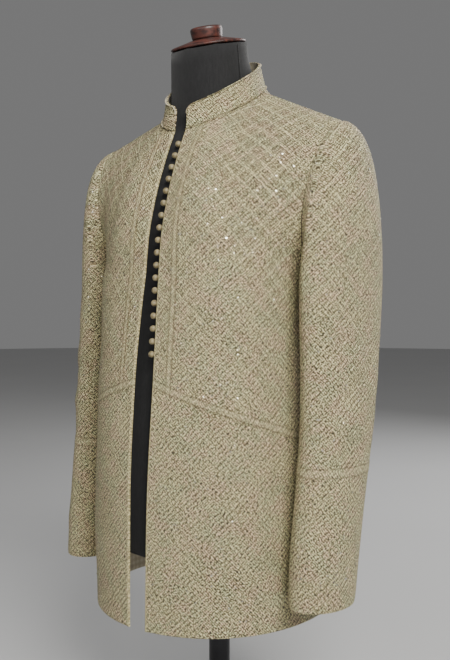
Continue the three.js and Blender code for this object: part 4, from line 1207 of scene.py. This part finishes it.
def ball_button(name, centre, turn):
    """Cloth-covered ball, slightly flattened, with gathers towards its shank."""
    points = []
    for i in range(BALL_RINGS + 1):
        angle = math.pi * i / BALL_RINGS
        gathered = smooth((angle - GATHERS_FROM) / GATHERS_RISE)
        for k in range(BALL_SEGMENTS):
            around = 2 * math.pi * k / BALL_SEGMENTS
            radius = BUTTON_RADIUS + GATHER_DEPTH * math.sin(GATHERS * around + turn) * gathered
            side = radius * math.sin(angle)
            x = -radius * math.cos(angle) * BALL_FLATNESS
            points.append((x, side * math.cos(around), side * math.sin(around)))
    base = len(points)
    for out, radius in SHANK_PROFILE:
        for k in range(SHANK_SIDES):
            around = 2 * math.pi * k / SHANK_SIDES
            points.append((BUTTON_RADIUS + out, radius * math.cos(around), radius * math.sin(around)))
    faces = ring_faces(0, BALL_RINGS + 1, BALL_SEGMENTS) + ring_faces(base, 2, SHANK_SIDES)
    faces.append(tuple(range(base + SHANK_SIDES, base + 2 * SHANK_SIDES)))
    mesh = outward_mesh(name, np.array(points) + centre, faces, 2e-5)
    shade_smooth(mesh, angle=60)
    return new_object(name, mesh, [button_silk])


def ball_buttons():
    """A row of buttons beside the left front's edge, whose shanks point at it."""
    reach = BUTTON_RADIUS + BUTTON_SHANK + SEAM_GAP
    for number, height in enumerate(BUTTON_HEIGHTS):
        centre = front_edge(height) + np.array([-reach, BUTTON_BEHIND_EDGE, 0])
        button = ball_button(f"ball_button_{number + 1:02d}", centre, GATHER_TURN * number)
        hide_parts(f"button_{number + 1:02d}")


def tube(paths, name, radius, material, sides=6):
    """Round threads along several lines of points in mm, as one mesh."""
    points, faces = [], []
    for path in paths:
        path = np.asarray(path, float)
        tangent = np.gradient(path, axis=0)
        tangent /= np.maximum(np.linalg.norm(tangent, axis=1, keepdims=True), 1e-9)
        helper = np.where(np.abs(tangent[:, 2:3]) > 0.9, [[1.0, 0, 0]], [[0, 0, 1.0]])
        across = np.cross(tangent, helper)
        across /= np.linalg.norm(across, axis=1, keepdims=True)
        rise = np.cross(across, tangent)
        base = len(points)
        for i in range(len(path)):
            for k in range(sides):
                angle = 2 * math.pi * k / sides
                points.append(path[i] + radius * (math.cos(angle) * across[i] + math.sin(angle) * rise[i]))
        faces += tube_faces(base, len(path), sides)
    mesh = bpy.data.meshes.new(name)
    mesh.from_pydata(to_metres(points).tolist(), [], faces)
    shade_smooth(mesh, angle=70)
    return new_object(name, mesh, [material])


BORDER_THREAD = 0.4
STITCHES_LEFT_OUT = 0.3
STITCH_REACH = (0.55, 0.95)
FIRST_STITCH_ROW = 8


def border_stitches(seed=11):
    """Short slanted stitches down the border of each upper front, in chevrons with some left out."""
    rng = random.Random(seed)
    stitches = []
    low, high = (int(np.argmin(np.abs(BODY_U - share))) for share in BORDER)
    middle = (low + high) // 2
    for side in ("left", "right"):
        outer, normals = outers[f"front_upper_{side}"]
        lifted = outer + BORDER_THREAD * 0.5 * normals
        if side == "right":
            lifted = lifted[:, ::-1]
        for row in range(FIRST_STITCH_ROW, len(lifted) - FINE):
            for start in (low, high):
                if rng.random() < STITCHES_LEFT_OUT:
                    continue
                a, b = lifted[row, start], lifted[row + 1, middle]
                reach = rng.uniform(*STITCH_REACH)
                stitches.append([a, a + (b - a) * reach * 0.5, a + (b - a) * reach])
    piece = tube(stitches, "border_threads", BORDER_THREAD, thread_cloth)


SEQUIN_WEIGHTS = {"front_upper": 5, "front_skirt": 2, "back": 4, "top_sleeve": 4, "under_sleeve": 1}
SEQUIN_MARGIN = 4
SEQUIN_TILT = 0.3
SEQUIN_LIFT = 0.45
SEQUIN_RADII = (0.8, 1.35)
SEQUIN_SIDES = 8

# Height along the axis and share of the radius: the crown, the rim and the underside
SEQUIN_PROFILE = [(0.12, 0.0), (0.0, 1.0), (-0.2, 0.9)]


def sequins(seed=7, count=1300):
    """Tiny flat discs scattered over the cloth, denser on the panels with more weight."""
    rng = random.Random(seed)
    points, faces = [], []
    nodes = []
    for part, weight in SEQUIN_WEIGHTS.items():
        nodes += [f"{part}_left"] * weight + [f"{part}_right"] * weight
    for _ in range(count):
        outer, normals = outers[rng.choice(nodes)]
        row = rng.randrange(SEQUIN_MARGIN, outer.shape[0] - SEQUIN_MARGIN - 1)
        column = rng.randrange(SEQUIN_MARGIN, outer.shape[1] - SEQUIN_MARGIN - 1)
        normal = normals[row, column]
        axis = normal + np.array([rng.uniform(-SEQUIN_TILT, SEQUIN_TILT) for _ in range(3)])
        axis /= np.linalg.norm(axis)
        centre = outer[row, column] + SEQUIN_LIFT * normal
        across = np.cross(axis, [0, 0, 1.0])
        across /= np.linalg.norm(across)
        rise = np.cross(axis, across)
        radius = rng.uniform(*SEQUIN_RADII)
        crown = len(points)
        rim, under = crown + 1, crown + 1 + SEQUIN_SIDES
        for lift, share in SEQUIN_PROFILE:
            for k in range(SEQUIN_SIDES if share else 1):
                angle = 2 * math.pi * k / SEQUIN_SIDES
                out = radius * share * (math.cos(angle) * across + math.sin(angle) * rise)
                points.append(centre + lift * axis + out)
        faces += [(crown, rim + (k + 1) % SEQUIN_SIDES, rim + k) for k in range(SEQUIN_SIDES)]
        faces += ring_faces(rim, 2, SEQUIN_SIDES)
        faces.append(tuple(range(under, under + SEQUIN_SIDES)))
    piece = new_object("sequins", outward_mesh("sequins", points, faces), [sequin_material()])


# Seams of the form's neck: radii of the neck at its foot and top, heights, and forward shift at its foot
NECK_FOOT_RADIUS = 59.6
NECK_TOP_RADIUS = 55.3
NECK_SEAM_HEIGHTS = (866.0, 926.0)
NECK_SHIFT = 5.0
NECK_SEAM_ANGLE = math.radians(84)
NECK_SEAM_POINTS = 20
NECK_SEAM_THREAD = 0.6


def form_neck_seams():
    """One raised seam down each side of the form's neck."""
    lines = []
    low, high = NECK_SEAM_HEIGHTS
    for sign in (1, -1):
        line = []
        for t in np.linspace(0, 1, NECK_SEAM_POINTS):
            radius = NECK_TOP_RADIUS + (NECK_FOOT_RADIUS - NECK_TOP_RADIUS) * (1 - t) ** 2
            x = sign * radius * math.sin(NECK_SEAM_ANGLE)
            y = NECK_CENTRE_Y + NECK_SHIFT * (1 - t) - radius * math.cos(NECK_SEAM_ANGLE)
            line.append((x, y, low + (high - low) * t))
        lines.append(line)
    piece = tube(lines, "neck_seams", NECK_SEAM_THREAD, form_cloth)


turned_pieces()
smooth_form()
ball_buttons()
border_stitches()
sequins()
form_neck_seams()

FLOOR_RADIUS = 9.0


def stage():
    """The floor, a wide pale disc."""
    mesh = bpy.data.meshes.new("floor")
    work = bmesh.new()
    bmesh.ops.create_circle(work, cap_ends=True, radius=FLOOR_RADIUS, segments=96)
    work.to_mesh(mesh)
    work.free()
    mesh.materials.append(floor_material())
    floor = bpy.data.objects.new("floor", mesh)
    bpy.context.scene.collection.objects.link(floor)


# Name, place and target in metres, side of the square in metres, power in watts and colour
LIGHTS = [
    ("key", (1.6, -1.2, 1.95), (0, 0, 0.66), 1.2, 90, (1, 0.985, 0.95)),
    ("fill", (-0.3, -2.2, 1.9), (0, 0, 0.7), 1.5, 14, (1, 1, 1)),
    ("rim", (0.2, 2.3, 1.8), (0, 0, 0.6), 1.6, 42, (1, 1, 1)),
]
WORLD_GREY = (0.62, 0.62, 0.62, 1)
WORLD_STRENGTH = 0.3


def area_light(name, place, target, size, power, colour):
    light = bpy.data.lights.new(name, "AREA")
    light.shape = "SQUARE"
    light.size = size
    light.energy = power
    light.color = colour
    holder = bpy.data.objects.new(name, light)
    bpy.context.scene.collection.objects.link(holder)
    holder.location = place
    aim = np.array(target, float) - np.array(place, float)
    pitch = math.acos(-aim[2] / np.linalg.norm(aim))
    holder.rotation_euler = (pitch, 0, math.atan2(aim[1], aim[0]) - math.pi / 2)


def lights():
    for row in LIGHTS:
        area_light(*row)
    world = bpy.data.worlds.new("studio")
    world.use_nodes = True
    background = world.node_tree.nodes["Background"]
    background.inputs["Color"].default_value = WORLD_GREY
    background.inputs["Strength"].default_value = WORLD_STRENGTH
    bpy.context.scene.world = world


# The camera's direction from the front, its distance, its shift to its own right and its height
CAMERA_AZIMUTH = math.radians(36)
CAMERA_DISTANCE = 1.25
CAMERA_RIGHT = 0.008
CAMERA_HEIGHT = 0.630

# Focal length and horizon in pixels of the photo's frame, whose long side is its height
FOCAL_PIXELS = 862
HORIZON_ABOVE_CENTRE = 36
LONG_SIDE_PIXELS = 660
SENSOR = 36.0


def camera():
    """Level camera at the photo's angle and height."""
    data = bpy.data.cameras.new("camera")
    data.sensor_width = SENSOR
    data.lens = FOCAL_PIXELS / LONG_SIDE_PIXELS * SENSOR
    data.shift_y = -HORIZON_ABOVE_CENTRE / LONG_SIDE_PIXELS
    holder = bpy.data.objects.new("camera", data)
    bpy.context.scene.collection.objects.link(holder)
    s, c = math.sin(CAMERA_AZIMUTH), math.cos(CAMERA_AZIMUTH)
    x = s * CAMERA_DISTANCE + c * CAMERA_RIGHT
    y = -c * CAMERA_DISTANCE + s * CAMERA_RIGHT
    holder.location = (x, y, CAMERA_HEIGHT)
    holder.rotation_euler = (math.pi / 2, 0, CAMERA_AZIMUTH)
    bpy.context.scene.camera = holder


stage()
lights()
camera()
